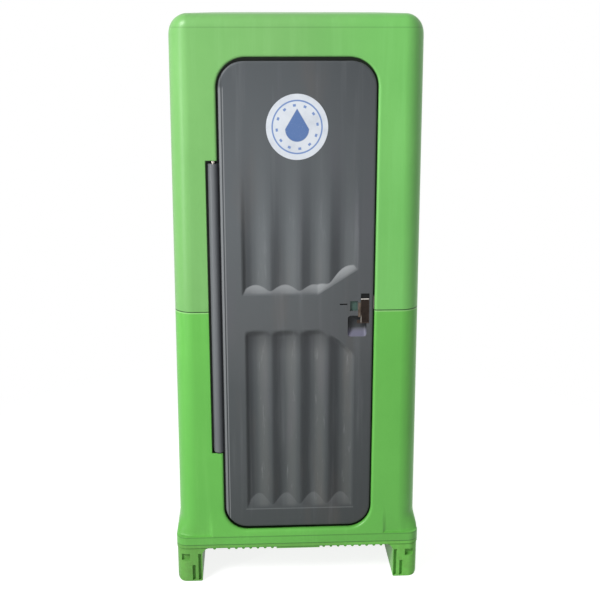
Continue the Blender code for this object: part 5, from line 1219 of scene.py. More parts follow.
@dataclass
class CabinShells:
    """The two moulded half shells with their doorway, seam and vent openings."""

    form: CabinForm
    opening: Triple = (0.6046, 0.228, 2.136)
    top_radius: float = 0.110
    bottom_radius: float = 0.095
    mouth: float = 0.012
    rim_edge: float = 0.003
    jamb_wall: float = 0.008
    lip_width: float = 0.014
    lip_front: float = -0.4811
    lip_back: float = -0.4741
    post_inner: float = 0.3524
    panel_taper: float = 0.022
    notch: Triple = (-0.348, 0.569, 1.757)
    notch_depth: float = 0.0338
    notch_mouth: float = 0.004
    channel_wall: float = 0.006
    channel_cap: float = 0.016
    rod: Triple = (-0.320, -0.5029, 0.0078)
    rod_bite: float = 0.014
    bolt_slot: tuple[Point, Point] = ((0.2943, -0.5031, 1.1656), (0.3323, -0.4891, 1.200))
    flange_gap: tuple[Point, Point] = ((0.3103, -0.5031, 1.1656), (0.3323, -0.4741, 1.1746))
    vent: Triple = (0.105, 2.010, 0.0325)
    pipe: Triple = (-0.3834, 2.080, 0.039)
    pipe_start: float = 0.40
    flange: Pair = (0.022, 0.006)
    wall_reach: float = 0.380
    wall_flute: float = 0.0050
    wall_flutes: int = 5
    wall_soft: Pair = (0.020, 0.070)
    wall_skim: float = 0.0003
    wall_bands: tuple[Pair, ...] = ((0.345, 1.095), (1.235, 1.930))

    def body_grid(self) -> Array:
        """The outer form: outlines that flare into the rim below and round over into the roof.

        Returns:
            The rows of points from the foot to the crown.
        """
        form = self.form
        share = np.array((0, .03, .07, .12, .18, .26, .34, .42, .52, .62, .72, .82, .91, 1.0))
        side = 0.5 + 0.5 * np.cos(math.pi * share)
        front = np.interp(share, (0, .03, .07, .18, .42, .72, 1), (1, .42, .30, .18, .08, .02, 0))
        rows = []
        edge = self.rim_edge
        for z, inset in ((form.deck_top + form.gap, 0.0), (form.rim_top - edge, 0.0),
                         (form.rim_top - edge * ROLL, edge * 0.25)):
            rows.append(flat(form.outline(z, form.rim_step - inset, form.rim_corner)[0][None],
                             np.array((z,))))
        for place, wide, ahead in zip(share, side, front):
            z = form.rim_top + place * (form.flare_top - form.rim_top)
            body, normals = form.outline(z, 0, form.corner)
            rim = form.outline(z, form.rim_step - edge * 0.8, form.rim_corner)[0]
            blend = wide + (ahead - wide) * np.clip(-normals[:, 1:], 0, None) ** 2
            rows.append(flat((body + (rim - body) * blend)[None], np.array((z,))))
        top = form.top_grid(0)
        rows.append(top)
        middle = top[-1].mean(axis=0)
        for share_in, rise in ((0.92, 0.25), (0.75, 0.7), (0.45, 1.0)):
            crown = middle + (top[-1] - middle) * share_in
            crown[:, 2] += rise * form.crown
            rows.append(crown[None])
        return np.vstack(rows)

    def cavity_grid(self) -> Array:
        """The space inside: the outer form drawn in by the wall, and more at the seam's flanges.

        Returns:
            The rows of points.
        """
        form = self.form
        width, thick = self.flange
        low, high = form.seam - thick, form.seam + thick
        rows = []
        for z, inset in ((form.deck_top - form.reach, 0.0), (low, 0.0), (low, width),
                         (high, width), (high, 0.0)):
            ring = form.outline(z, -form.wall - inset, form.corner - form.wall - inset)[0]
            rows.append(flat(ring[None], np.array((z,))))
        rows.append(form.top_grid(-form.wall, 10))
        return np.vstack(rows)

    def doorway_outline(self, offset: float) -> Array:
        """The doorway's outline in X and Z, grown by an offset.

        Args:
            offset: How far outwards it lies.

        Returns:
            The points.
        """
        width, low, high = self.opening
        half = width / 2 + offset
        foot, head = self.bottom_radius + offset, self.top_radius + offset
        return rounded_outline((-half, low - offset), (half, high + offset),
                               (foot, head, head, foot), 16)[0]

    def notch_outline(self, offset: float) -> Array:
        """The hinge notch's outline in X and Z, grown by an offset.

        Args:
            offset: How far outwards it lies.

        Returns:
            The points.
        """
        left, low, high = self.notch
        right = self.lip_width - self.opening[0] / 2
        return rounded_outline((left - offset, low - offset), (right, high + offset),
                               (self.notch_mouth,) * 4, 6)[0]

    def mouth_grid(self, outline: Callable[[float], Array], edge: float, back: float,
                   flared: bool) -> Array:
        """A tool whose sides open at the facade by a quarter circle and then run straight.

        Args:
            outline: Gives the outline for an offset.
            edge: The radius of the quarter circle.
            back: Where the tool ends in Y.
            flared: Whether the mouth follows the wall where it runs out into the rim.

        Returns:
            The tool's rows of points.
        """
        turn = np.linspace(0, math.pi / 2, 9)
        outlines = [outline(edge)] + [outline(edge * (1 - math.sin(a))) for a in turn]
        depths = np.concatenate(((self.form.front - self.form.reach,),
                                 self.form.front + edge * (1 - np.cos(turn))))
        grid = upright(np.stack(outlines), depths)
        if flared:
            grid[..., 1] -= np.maximum(self.form.panel_out(grid[..., 2]), 0)
        return np.vstack((grid, upright(outline(0)[None], np.array((back,)))))

    def panel_block(self) -> Piece:
        """The wall between the posts, whose foot runs out into the rim in one curve.

        Returns:
            The wall.
        """
        form = self.form
        heights = np.linspace(form.rim_top, form.panel_foot, 22)
        fronts = form.front - form.panel_out(heights)
        back = form.front + form.wall / 2
        low = (form.deck_top + form.rim_top) / 2
        profile = np.vstack(((back, low), (form.front, low), np.column_stack((fronts, heights)),
                             (back, form.panel_foot)))
        share = np.array((0.0, 0.15, 0.5, 0.85, 1.0))
        reach = self.post_inner + self.panel_taper * (1 - share)
        stand = np.concatenate((share, share[::-1]))[:, None]
        side = np.concatenate((-reach, reach[::-1]))[:, None]
        inside = np.maximum(profile[:, 0], form.front + 0.0008)
        fronts = profile[:, 0] * stand + inside * (1 - stand)
        grid = np.stack((np.broadcast_to(side, fronts.shape), fronts,
                         np.broadcast_to(profile[:, 1], fronts.shape)), axis=-1)
        return surface("tool_panel", grid)

    def wall_tool(self, side: int, ends: Pair) -> Piece:
        """A tool that sinks shallow flutes into a side wall or the back wall.

        Its depth is a cosine wave along the wall times smooth steps at the four edges.

        Args:
            side: -1 or 1 for a side wall, 0 for the back wall.
            ends: The flutes' lower and upper ends in Z.

        Returns:
            The tool.
        """
        reach, deep, skim = self.wall_reach, self.wall_flute, self.wall_skim
        side_soft, soft = self.wall_soft
        s, z = np.meshgrid(np.linspace(-reach, reach, 20 * self.wall_flutes + 1),
                           np.concatenate((np.linspace(ends[0], ends[0] + soft, 15),
                                           np.linspace(ends[1] - soft, ends[1], 15))))
        wave = 0.5 - 0.5 * np.cos(2 * math.pi * self.wall_flutes * (s + reach) / (2 * reach))
        depth = deep * (0.25 + 0.75 * wave) * smooth(
            np.minimum(z - ends[0], ends[1] - z) / soft) * smooth((reach - np.abs(s)) / side_soft)
        face = self.form.half_width(z) if side else self.form.back(z)
        far = face + skim - depth * (1 + skim / deep)
        near = face[:, :1] + self.form.reach / 2
        rows = np.stack((far, s, z), axis=-1)
        last = np.stack((near, s[:, -1:], z[:, -1:]), axis=-1)
        first = np.stack((near, s[:, :1], z[:, :1]), axis=-1)
        grid = np.concatenate((rows, last, first), axis=1)
        if side:
            return surface("tool_wall", grid * (side, 1, 1))
        return surface("tool_wall", grid[..., (1, 0, 2)])

    def openings(self) -> list[Piece]:
        """The tools that cut the doorway, the hinge's notch and rod, the vents and the bolt hole.

        Returns:
            The tools.
        """
        form = self.form
        wide = self.mouth_grid(self.doorway_outline, self.mouth, self.lip_front, True)
        narrow = prism("tool_way", self.doorway_outline(-self.lip_width),
                       (form.front, self.lip_back + form.reach))
        notch = self.mouth_grid(self.notch_outline, self.notch_mouth,
                                form.front + self.notch_depth, False)
        x, y, radius = self.rod
        rod = turned("tool_rod", ((self.notch[1] - self.rod_bite, radius),
                                  (self.notch[2] + self.rod_bite, radius)), (x, y, 0), sides=32)
        reach, z, half = self.vent
        vents = block("tool_vents", (-form.base_width, -reach, z - half),
                      (form.base_width, reach, z + half))
        pipe_x, pipe_z, pipe_r = self.pipe
        pipe = turned("tool_pipe", ((0, pipe_r), (form.base_depth, pipe_r)),
                      (pipe_x, self.pipe_start, pipe_z), "y")
        return [surface("tool_doorway", wide), narrow, surface("tool_notch", notch),
                rod, vents, pipe,
                block("tool_bolt", *self.bolt_slot), block("tool_flange", *self.flange_gap)]

    def build(self) -> None:
        """Make the whole cabin once, then part it at the seam into its two halves."""
        form = self.form
        cabin = surface("cabin", self.body_grid())
        jamb = prism("tool_jamb", self.doorway_outline(self.jamb_wall),
                     (form.front + form.wall / 2, self.lip_back))
        left, low, high = self.notch
        channel = block("tool_channel", (left - self.channel_wall, form.front + form.wall / 2,
                                         low - self.channel_cap),
                        (-self.opening[0] / 2, form.front + self.notch_depth + self.channel_wall,
                         high + self.channel_cap))
        carve(cabin, "DIFFERENCE", surface("tool_cavity", self.cavity_grid()))
        carve(cabin, "UNION", jamb, channel, self.panel_block())
        carve(cabin, "DIFFERENCE", *self.openings())
        carve(cabin, "DIFFERENCE", *(self.wall_tool(side, ends) for side in (-1, 0, 1)
                                     for ends in self.wall_bands))
        halves = (("upper_shell", Finish.UPPER_GREEN, form.seam + form.gap, form.height + 0.1),
                  ("lower_shell", Finish.LOWER_GREEN, -0.1, form.seam - form.gap))
        for node, finish, bottom, top in halves:
            half = placed(node + "_moulding", cabin.data.copy())
            carve(half, "INTERSECT", block("tool_half", (-1, -1, bottom), (1, 1, top)))
            dress(half, finish, 38.0)
            publish(half, "cabin", "shell_green", node)
        bpy.data.objects.remove(cabin)


@dataclass
class DoorLeaf:
    """The grey door: rounded edges, two rows of four flutes and the pockets of its fittings."""

    left: float = -0.2963
    right: float = 0.2978
    bottom: float = 0.236
    top: float = 2.124
    front: float = -0.5114
    back: float = -0.4814
    edge_width: float = 0.010
    edge_depth: float = 0.005
    back_edge: float = 0.0015
    foot_radius: float = 0.0905
    head_radius: float = 0.098
    flute: float = 0.018
    flutes: int = 4
    crest: float = 0.22
    panel_edge: float = 0.020
    upper_ridge: float = 0.008
    lower_ridge: float = 0.0054
    upper_line: float = 1.2268
    upper_rise: float = 0.0968
    fade: Pair = (1.330, 1.760)
    upper_ramp: float = 0.042
    lower_top: float = 1.094
    lower_drop: float = 0.096
    lower_bottom: float = 0.314
    lower_ramp: float = 0.067
    step_wall: float = 0.038
    upper_insets: Pair = (0.0740, 0.0580)
    lower_insets: Pair = (0.0813, 0.0658)
    upper_bend: Pair = (0.2200, 0.1516)
    lower_bend: Pair = (0.2130, 0.1430)
    groove: Triple = (-0.2860, -0.2830, 0.0012)
    groove_ends: Pair = (0.328, 2.026)
    skim: float = 0.0004
    reach: float = 0.02
    scoop_corners: tuple[Pair, ...] = ((0.198, 1.055), (0.2735, 1.143))
    scoop_radius: float = 0.012
    scoop_steps: tuple[tuple[float, float, float], ...] = (
        (-0.02, 0.0, 0.0), (0.0, 0.0, 0.0), (0.003, 0.003, 0.001), (0.012, 0.016, 0.002),
        (0.019, 0.030, 0.004), (0.021, 0.038, 0.006))
    lock_space: tuple[Point, Point] = ((0.1677, -0.5029, 1.1507), (0.2883, -0.44, 1.2243))
    bolt_way: tuple[Point, Point] = ((0.2855, -0.5006, 1.1765), (0.34, -0.4916, 1.1975))
    tongue_slot: tuple[Point, Point] = ((-0.320, -0.5002, 0.5747), (-0.2747, -0.4936, 1.7463))
    pocket_edge: float = 0.0009
    slide_pockets: tuple[Pocket, ...] = (
        ((0.2485, 1.131), (0.2827, 1.2330), 0.0055), ((0.2485, 1.1105), (0.2827, 1.143), 0.0055))
    window: Pocket = ((0.2066, 1.1615), (0.2364, 1.2023), 0.0185)
    key_slot: Pocket = ((0.166, 1.1872), (0.196, 1.1922), 0.008)
    key_radius: float = 0.0018
    guide_slot: Pocket = ((0.2382, 1.1367), (0.2483, 1.1963), 0.0028)

    @property
    def upper_ends(self) -> Pair:
        """Where the upper flutes start and end in X."""
        return self.left + self.upper_insets[0], self.right - self.upper_insets[1]

    @property
    def lower_ends(self) -> Pair:
        """Where the lower flutes start and end in X."""
        return self.left + self.lower_insets[0], self.right - self.lower_insets[1]

    def outline(self, inset: float) -> Array:
        """The door's outline in X and Z, drawn in by an inset.

        Args:
            inset: How far inwards it lies.

        Returns:
            The points.
        """
        foot, head = self.foot_radius - inset, self.head_radius - inset
        return rounded_outline((self.left + inset, self.bottom + inset),
                               (self.right - inset, self.top - inset),
                               (foot, head, head, foot), 14)[0]

    def slab(self) -> Piece:
        """The door without its flutes: its edge turns back by a quarter ellipse.

        Returns:
            The slab.
        """
        turn = np.linspace(0, math.pi / 2, 9)
        outlines = [self.outline(self.edge_width * (1 - math.sin(a))) for a in turn]
        outlines += [self.outline(0), self.outline(self.back_edge)]
        depths = np.concatenate((self.front + self.edge_depth * (1 - np.cos(turn)),
                                 (self.back - self.back_edge, self.back)))
        return surface("door_panel_moulding", upright(np.stack(outlines), depths))

    def panel(self, x: Array, ends: Pair, ridge: float) -> Array:
        """Depth of the flutes alone: the softened root of a cosine wave, with narrow ridges.

        Args:
            x: The place in X.
            ends: Where the flutes start and end in X.
            ridge: How deep the ridges between them lie.

        Returns:
            The depth behind the door's face.
        """
        left, right = ends
        wave = 0.5 - 0.5 * np.cos(2 * math.pi * self.flutes * (x - left) / (right - left))
        soft = self.crest
        wave = (np.sqrt(wave + soft * soft) - soft) / (math.sqrt(1 + soft * soft) - soft)
        return (ridge + (self.flute - ridge) * wave) * smooth(
            np.minimum(x - left, right - x) / self.panel_edge)

    def upper_foot(self, x: Array) -> Array:
        """Where the upper flutes start in Z: level, then rising evenly towards the lock."""
        start, run = self.upper_bend
        return self.upper_line + self.upper_rise / run * np.maximum(x - (self.right - start), 0)

    def upper_depth(self, x: Array, z: Array) -> Array:
        """Depth of the upper flutes: they fade out upwards and end below in ramps.

        Args:
            x: The place in X.
            z: The place in Z.

        Returns:
            The depth.
        """
        full = self.panel(x, self.upper_ends, self.upper_ridge)
        low, high = self.fade
        return np.minimum(full * smooth((high - z) / (high - low)),
                          (z - self.upper_foot(x)) * self.flute / self.upper_ramp)

    def lower_head(self, x: Array) -> Array:
        """Where the lower flutes start in Z: level, then falling in a curve below the lock."""
        start, run = self.lower_bend
        along = np.clip((x - (self.right - start)) / run, 0, 1)
        return self.lower_top - self.lower_drop * along * along * (2 - along)

    def lower_depth(self, x: Array, z: Array) -> Array:
        """Depth of the lower flutes: they start under a step and end below in ramps.

        Args:
            x: The place in X.
            z: The place in Z.

        Returns:
            The depth.
        """
        full = self.panel(x, self.lower_ends, self.lower_ridge)
        return np.minimum(full * smooth((self.lower_head(x) - z) / self.step_wall),
                          (z - self.lower_bottom) * self.flute / self.lower_ramp)

    def flute_tool(self, name: str, depth: Callable[[Array, Array], Array],
                   ends: Pair, foot: Callable[[Array], Array],
                   head: Callable[[Array], Array], shares: Array) -> Piece:
        """A tool whose far side is the fluted surface, with rows from its foot to its head.

        Args:
            name: The tool's name.
            depth: Gives the depth behind the door's face for X and Z.
            ends: Where it starts and ends in X.
            foot: Gives its lowest Z for X.
            head: Gives its highest Z for X.
            shares: How far up each row lies, from 0 to 1.

        Returns:
            The tool.
        """
        x, share = np.meshgrid(np.linspace(*ends, 145), shares)
        z = foot(x) + (head(x) - foot(x)) * share
        deep = np.maximum(depth(x, z), 0)
        far = self.front - self.skim + deep * (1 + self.skim / self.flute)
        near = np.full_like(far[:, :1], self.front - self.reach)
        rows = np.stack((x, far, z), axis=-1)
        corner_r = np.stack((x[:, -1:], near, z[:, -1:]), axis=-1)
        corner_l = np.stack((x[:, :1], near, z[:, :1]), axis=-1)
        return surface(name, np.concatenate((rows, corner_r, corner_l), axis=1))

    def pocket(self, low: Sequence[float], high: Sequence[float], depth: float,
               radius: float) -> Piece:
        """A pocket in the door's face between two corners in X and Z.

        Args:
            low: The lower left corner.
            high: The upper right corner.
            depth: How deep it goes.
            radius: Its corners' radius.

        Returns:
            The tool that cuts it.
        """
        steps = ((0.0, self.front - self.reach), (0.0, self.front + depth))
        return surface("tool_pocket", upright(*layers(low, high, radius, steps)))

    def scoop(self) -> Piece:
        """The finger pocket: its floor slopes from the face to the full depth like a chute.

        Returns:
            The tool that cuts it.
        """
        low, high = self.scoop_corners
        rows = []
        for depth, foot, side in self.scoop_steps:
            ring = rounded_outline((low[0] + side, low[1] + foot), (high[0] - side, high[1] - side),
                                   (self.scoop_radius,) * 4, 8)[0]
            rows.append(upright(ring[None], np.array((self.front + depth,))))
        return surface("tool_scoop", np.vstack(rows))

    def hinge_groove(self) -> Piece:
        """The upright channel beside the barrel, whose section is half an ellipse.

        Returns:
            The tool that cuts it.
        """
        left, right, depth = self.groove
        turn = np.linspace(0, math.pi, 13)
        xs = (left + right) / 2 - (right - left) / 2 * np.cos(turn)
        ys = self.front + depth * np.sin(turn)
        near = self.front - self.reach
        section = np.vstack((np.column_stack((xs, ys)), ((right, near), (left, near))))
        return prism("tool_groove", section, self.groove_ends, flat)

    def build(self) -> None:
        """Cut the flutes and pockets into the slab."""
        door = self.slab()
        upper = np.concatenate((np.linspace(0, 0.30, 80), np.linspace(0.30, 1, 40)[1:]))
        lower = np.concatenate((np.linspace(0, 0.10, 48), np.linspace(0.10, 0.85, 4)[1:],
                                np.linspace(0.85, 1, 64)[1:]))
        carve(door, "DIFFERENCE",
              self.flute_tool("tool_upper", self.upper_depth, self.upper_ends, self.upper_foot,
                              lambda x: np.full_like(x, self.fade[1]), upper),
              self.flute_tool("tool_lower", self.lower_depth, self.lower_ends,
                              lambda x: np.full_like(x, self.lower_bottom), self.lower_head,
                              lower))
        carve(door, "DIFFERENCE", block("tool_lock", *self.lock_space),
              block("tool_way", *self.bolt_way),
              *(self.pocket(*place, self.pocket_edge) for place in self.slide_pockets),
              self.scoop(), self.hinge_groove(), self.pocket(*self.window, self.pocket_edge),
              self.pocket(*self.key_slot, self.key_radius),
              self.pocket(*self.guide_slot, self.pocket_edge),
              block("tool_tongue", *self.tongue_slot))
        dress(door, Finish.DOOR, 34.0)
        publish(door, "door", "door_grey", "door_panel")


@dataclass
class DoorHinge:
    """The hinge barrel that turns with the door, and the rod, bushes and washer."""

    x: float = -0.320
    y: float = -0.5029
    low: float = 0.575
    high: float = 1.746
    radius: float = 0.020
    bore: float = 0.0108
    edge: float = 0.002
    tongue: tuple[Point, Point] = ((0.0128, 0.003, 0.0005), (0.045, 0.009, -0.0005))
    rod_ends: Pair = (0.5553, 1.7707)
    rod_radius: float = 0.0075
    rod_edge: float = 0.0007

    def build(self) -> None:
        """Turn the barrel and join its tongue, and rework the small turned pieces."""
        place = (self.x, self.y, 0)
        profile = (*rolled(self.high, self.radius, self.edge), (self.high, self.bore),
                   (self.low, self.bore), *rolled(self.low, self.radius, -self.edge)[::-1])
        barrel = turned("hinge_barrel_moulding", profile, place, sides=64, ring=True)
        start, end = self.tongue
        carve(barrel, "UNION", block(
            "tool_tongue", (self.x + start[0], self.y + start[1], self.low + start[2]),
            (self.x + end[0], self.y + end[1], self.high + end[2])))
        dress(barrel, Finish.BARREL, 40.0)
        publish(barrel, "door", "door_grey", "hinge_barrel")
        low, high = self.rod_ends
        thin, edge = self.rod_radius - self.rod_edge, self.rod_edge
        rod = turned("hinge_rod_drawn", ((low, thin), (low + edge, self.rod_radius),
                                         (high - edge, self.rod_radius), (high, thin)),
                     place, sides=32)
        dress(rod, Finish.STEEL, 40.0)
        publish(rod, "cabin", "steel", "hinge_rod")
        reworked("hinge_washer", Finish.FITTING_BLACK, "cabin", "moulded_black", 0.0006)
        for node in ("hinge_bush_bottom", "hinge_bush_top"):
            reworked(node, Finish.FITTING_BLACK, "door", "moulded_black", 0.0005)


@dataclass
class LockKnob:
    """The inner knob: a turned disc with rolled edges on its shaft, and a rounded grip."""

    x: float = 0.245
    z: float = 1.187
    start: float = -0.4910
    face: float = -0.4773
    shaft: float = 0.0047
    radius: float = 0.022
    thick: float = 0.0075
    edge: float = 0.0012
    grip: Triple = (0.005, 0.0198, 0.016)
    grip_roundness: float = 0.9

    def build(self) -> None:
        """Turn the disc and join the grip."""
        edge, end = self.edge, self.face + self.thick
        profile = ((self.start, self.shaft - edge / 3), (self.start + edge / 3, self.shaft),
                   (self.face, self.shaft), *rolled(self.face, self.radius, -edge)[::-1],
                   *rolled(end, self.radius, edge))
        knob = turned("lock_knob_moulding", profile, (self.x, 0, self.z), "y", 72)
        half, reach, high = self.grip
        steps = ((0.0, end - self.thick / 2), (0.0, end + high - edge),
                 (edge * ROLL, end + high - edge * ROLL), (edge, end + high))
        carve(knob, "UNION", surface("tool_grip", upright(*layers(
            (self.x - half, self.z - reach), (self.x + half, self.z + reach),
            half * self.grip_roundness, steps, rounding=8))))
        publish(dress(knob, Finish.FITTING_BLACK, 36.0), "lock_knob", "moulded_black", "lock_knob")


@dataclass
class DoorLabel:
    """The thin round label high on the door, with its edge rounded forwards."""

    x: float = -0.00195
    z: float = 1.8815
    half: Pair = (0.117, 0.123)
    back: float = -0.5117
    thick: float = 0.0008
    edge: float = 0.0003

    def build(self) -> None:
        """Stand ellipses one before the other, the last one drawn in by the edge."""
        front = self.back - self.thick
        steps = ((self.back, 0.0), (front + self.edge, 0.0),
                 (front + self.edge * ROLL, self.edge * ROLL), (front, self.edge))
        rings = np.stack([oval((self.half[0] - cut, self.half[1] - cut), self.z, points=160)
                          for _, cut in steps]) + np.array((self.x, 0))
        label = surface("door_label_print", upright(rings, np.array([y for y, _ in steps])))
        publish(dress(label, Finish.LABEL, 50.0), "door", "white_plastic", "door_label")


@dataclass
class BaseRunners:
    """The two full-depth runners, with slots and a window in each end."""

    form: CabinForm
    inner: float = 0.3994
    top: float = 0.1502
    inset: float = 0.0025
    outer_radius: float = 0.022
    inner_radius: float = 0.006
    gusset: float = 0.033
    sole: float = 0.004
    pockets: tuple[tuple[float, float, float, float, float], ...] = (
        (0.0040, 0.0160, 0.0, 0.1240, 0.013), (0.0290, 0.0410, 0.0, 0.0730, 0.013),
        (0.0510, 0.0850, 0.0945, 0.1250, 0.016))
    mouth: tuple[Pair, ...] = ((-0.0012, 0.02), (-0.0012, 0.0002), (0.0, -0.0012))
    draw: float = 0.0008
    pocket_radius: float = 0.0015
    window: Triple = (0.052, 0.036, 0.116)
    window_steps: tuple[Pair, ...] = (
        (-0.002, 0.01), (-0.002, 0.0002), (0.0, -0.002), (0.003, -0.012))
    window_radius: float = 0.012
    plan_ends: Pair = (-0.1, 0.3)
    side_slots: int = 5
    slot_pitch: float = 0.170

    def section(self, side: int) -> Array:
        """A runner's outline in X and Z: arcs at its feet and a hollow arc under the deck.

        Args:
            side: -1 for the left runner or 1 for the right one.

        Returns:
            The points.
        """
        outer = self.form.base_width / 2 - self.inset

        def arc(centre: Sequence[float], radius: float, start: float, end: float) -> Array:
            """Points of an arc between two angles in degrees."""
            turn = np.radians(np.linspace(start, end, 13))
            return np.array(centre) + radius * np.stack((np.cos(turn), np.sin(turn)), axis=-1)

        foot, heel, under = self.inner_radius, self.outer_radius, self.gusset
        line = np.vstack((arc((self.inner + foot, foot), foot, 180, 270),
                          arc((outer - heel, heel), heel, 270, 360), ((outer, self.top),),
                          arc((self.inner - under, self.top - under), under, 90, 0)))
        return line * (side, 1)

    def pocket(self, side: int, end: int, sizes: Sequence[float]) -> Piece:
        """One pocket in an end of a runner, drawn in a little towards its bottom.

        Args:
            side: The runner's side.
            end: -1 for the front end or 1 for the back one.
            sizes: Its near and far insets from the inner face, its foot, its head, its depth.

        Returns:
            The tool that cuts it.
        """
        near, far, low, high, depth = sizes
        face = end * (self.form.base_depth / 2 - self.inset)
        xs = sorted((side * (self.inner + near), side * (self.inner + far)))
        steps = [(draw, face + end * out) for draw, out in (*self.mouth, (self.draw, -depth))]
        return surface("tool_pocket", upright(*layers(
            (xs[0], max(low, self.sole)), (xs[1], high), 0.0, steps, self.pocket_radius, 3)))

    def side_groove(self, side: int, middle: float) -> Piece:
        """A shallow upright window in a runner's outer face, narrower at its bottom.

        Args:
            side: The runner's side.
            middle: The window's middle in Y.

        Returns:
            The tool that cuts it.
        """
        outer = side * (self.form.base_width / 2 - self.inset)
        half, low, high = self.window
        steps = [(draw, outer + side * out) for draw, out in self.window_steps]
        grid = upright(*layers((middle - half, low), (middle + half, high), 0.0, steps,
                               self.window_radius))
        return surface("tool_side", grid[..., (1, 0, 2)])

    def build(self) -> None:
        """Draw both runners out along Y, keep them within the base's plan and cut the pockets."""
        form = self.form
        for side, node in ((-1, "runner_left"), (1, "runner_right")):
            reach = form.base_depth / 2 + form.reach
            runner = prism(node + "_moulding", self.section(side), (-reach, reach))
            plan = form.outline(form.deck_top, form.rim_step - self.inset,
                                form.rim_corner - self.inset)[0]
            carve(runner, "INTERSECT", prism("tool_plan", plan, self.plan_ends, flat))
            places = (np.arange(self.side_slots) - (self.side_slots - 1) / 2) * self.slot_pitch
            carve(runner, "DIFFERENCE",
                  *(self.pocket(side, end, sizes) for end in (-1, 1) for sizes in self.pockets),
                  *(self.side_groove(side, float(middle)) for middle in places))
            dress(runner, Finish.BASE_GREEN, 40.0)
            publish(runner, "cabin", "shell_green", node)


@dataclass
class DoorLatch:
    """The lifting slide on the door's edge and the guide strip beside it."""

    left: float = 0.2490
    right: float = 0.2822
    low: float = 1.1110
    high: float = 1.2112
    front: float = -0.5117
    back: float = -0.5064
    rim: float = 0.0028
    dish: float = 0.0011
    edge: float = 0.0007
    slope: float = 0.0009
    corner: float = 0.0018
    least: float = 0.0005
    finger: tuple[Pair, ...] = ((0.2340, 1.1111), (0.2545, 1.1259))
    finger_radii: tuple[float, ...] = (0.002, 0.0005, 0.004, 0.002)
    finger_depths: Pair = (-0.5089, -0.5113)
    lip: tuple[Point, Point] = ((0.001, 0.0006, -0.003), (-0.001, 0.0005, 0.0006))

    def slide(self) -> None:
        """Build the slide: a plate with a raised rim, its face sunk, and a finger at its foot."""
        steps = ((0.0, self.back), (0.0, self.front + self.edge), (self.edge, self.front),
                 (self.rim, self.front), (self.rim + self.slope, self.front + self.dish))
        plate = surface("latch_slide_pressed", upright(*layers(
            (self.left, self.low), (self.right, self.high), self.corner, steps, self.least, 4)))
        finger = rounded_outline(*self.finger, self.finger_radii, 4)[0]
        carve(plate, "UNION", prism("tool_finger", finger, self.finger_depths))
        start, end = self.lip
        top = block("tool_top", (self.left + start[0], self.front + start[1], self.high + start[2]),
                    (self.right + end[0], self.back + end[1], self.high + end[2]))
        carve(plate, "UNION", top)
        dress(plate, Finish.LATCH_STEEL, 40.0)
        publish(plate, "latch", "steel", "latch_slide")

    def build(self) -> None:
        """Build the slide and rework its guide."""
        self.slide()
        reworked("latch_guide", Finish.GUIDE_STEEL, "door", "steel", 0.0005)


@dataclass
class FloorPanel:
    """The grey floor, with a rounded edge and a field of raised oval studs before the tank."""

    form: CabinForm
    low: float = 0.1645
    high: float = 0.1765
    inset: float = 0.010
    corner: float = 0.065
    edge: float = 0.0020
    reach: float = 0.395
    ends: Pair = (-0.432, -0.010)
    pitch: Pair = (0.036, 0.036)
    stud: Triple = (0.0135, 0.0042, 0.0016)

    def studs(self) -> Array:
        """The studs: ellipses turned left and right by turns, each row smaller and higher.

        Returns:
            Points by stud, row, column and axis.
        """
        long, wide, high = self.stud
        xs, ys = np.meshgrid(np.arange(-self.reach, self.reach, self.pitch[0]),
                             np.arange(*self.ends, self.pitch[1]))
        way = np.where(np.add.outer(np.arange(xs.shape[0]), np.arange(xs.shape[1])) % 2, 1, -1)
        slant = (way * math.pi / 4).reshape(-1, 1, 1)
        turn = np.arange(14) * 2 * math.pi / 14
        share = np.array((1.0, 0.92, 0.72, 0.40))[:, None]
        u, v = long * share * np.cos(turn), wide * share * np.sin(turn)
        rise = np.array((-0.0006, 0.45, 0.85, 1.0)) * (1, high, high, high)
        x = xs.reshape(-1, 1, 1) + u * np.cos(slant) - v * np.sin(slant)
        y = ys.reshape(-1, 1, 1) + u * np.sin(slant) + v * np.cos(slant)
        z = np.broadcast_to(self.high + rise[:, None], x.shape)
        return np.stack((x, y, z), axis=-1)

    def build(self) -> None:
        """Make the panel from outlines and lay the studs on it."""
        steps = ((self.low, self.edge), (self.low + self.edge, 0.0),
                 (self.high - self.edge, 0.0), (self.high - self.edge * ROLL, self.edge * ROLL),
                 (self.high, self.edge))
        rows = [flat(self.form.outline(self.form.flare_top, -self.inset - cut,
                                       self.corner - cut)[0][None], np.array((z,)))
                for z, cut in steps]
        panel = surface("floor_panel_moulding", np.vstack(rows))
        publish(dress(panel, Finish.FLOOR_GREY, 40.0), "cabin", "door_grey", "floor_panel")
        studs = shells("floor_tread", self.studs())
        publish(dress(studs, Finish.FLOOR_GREY, 60.0), "cabin", "door_grey")


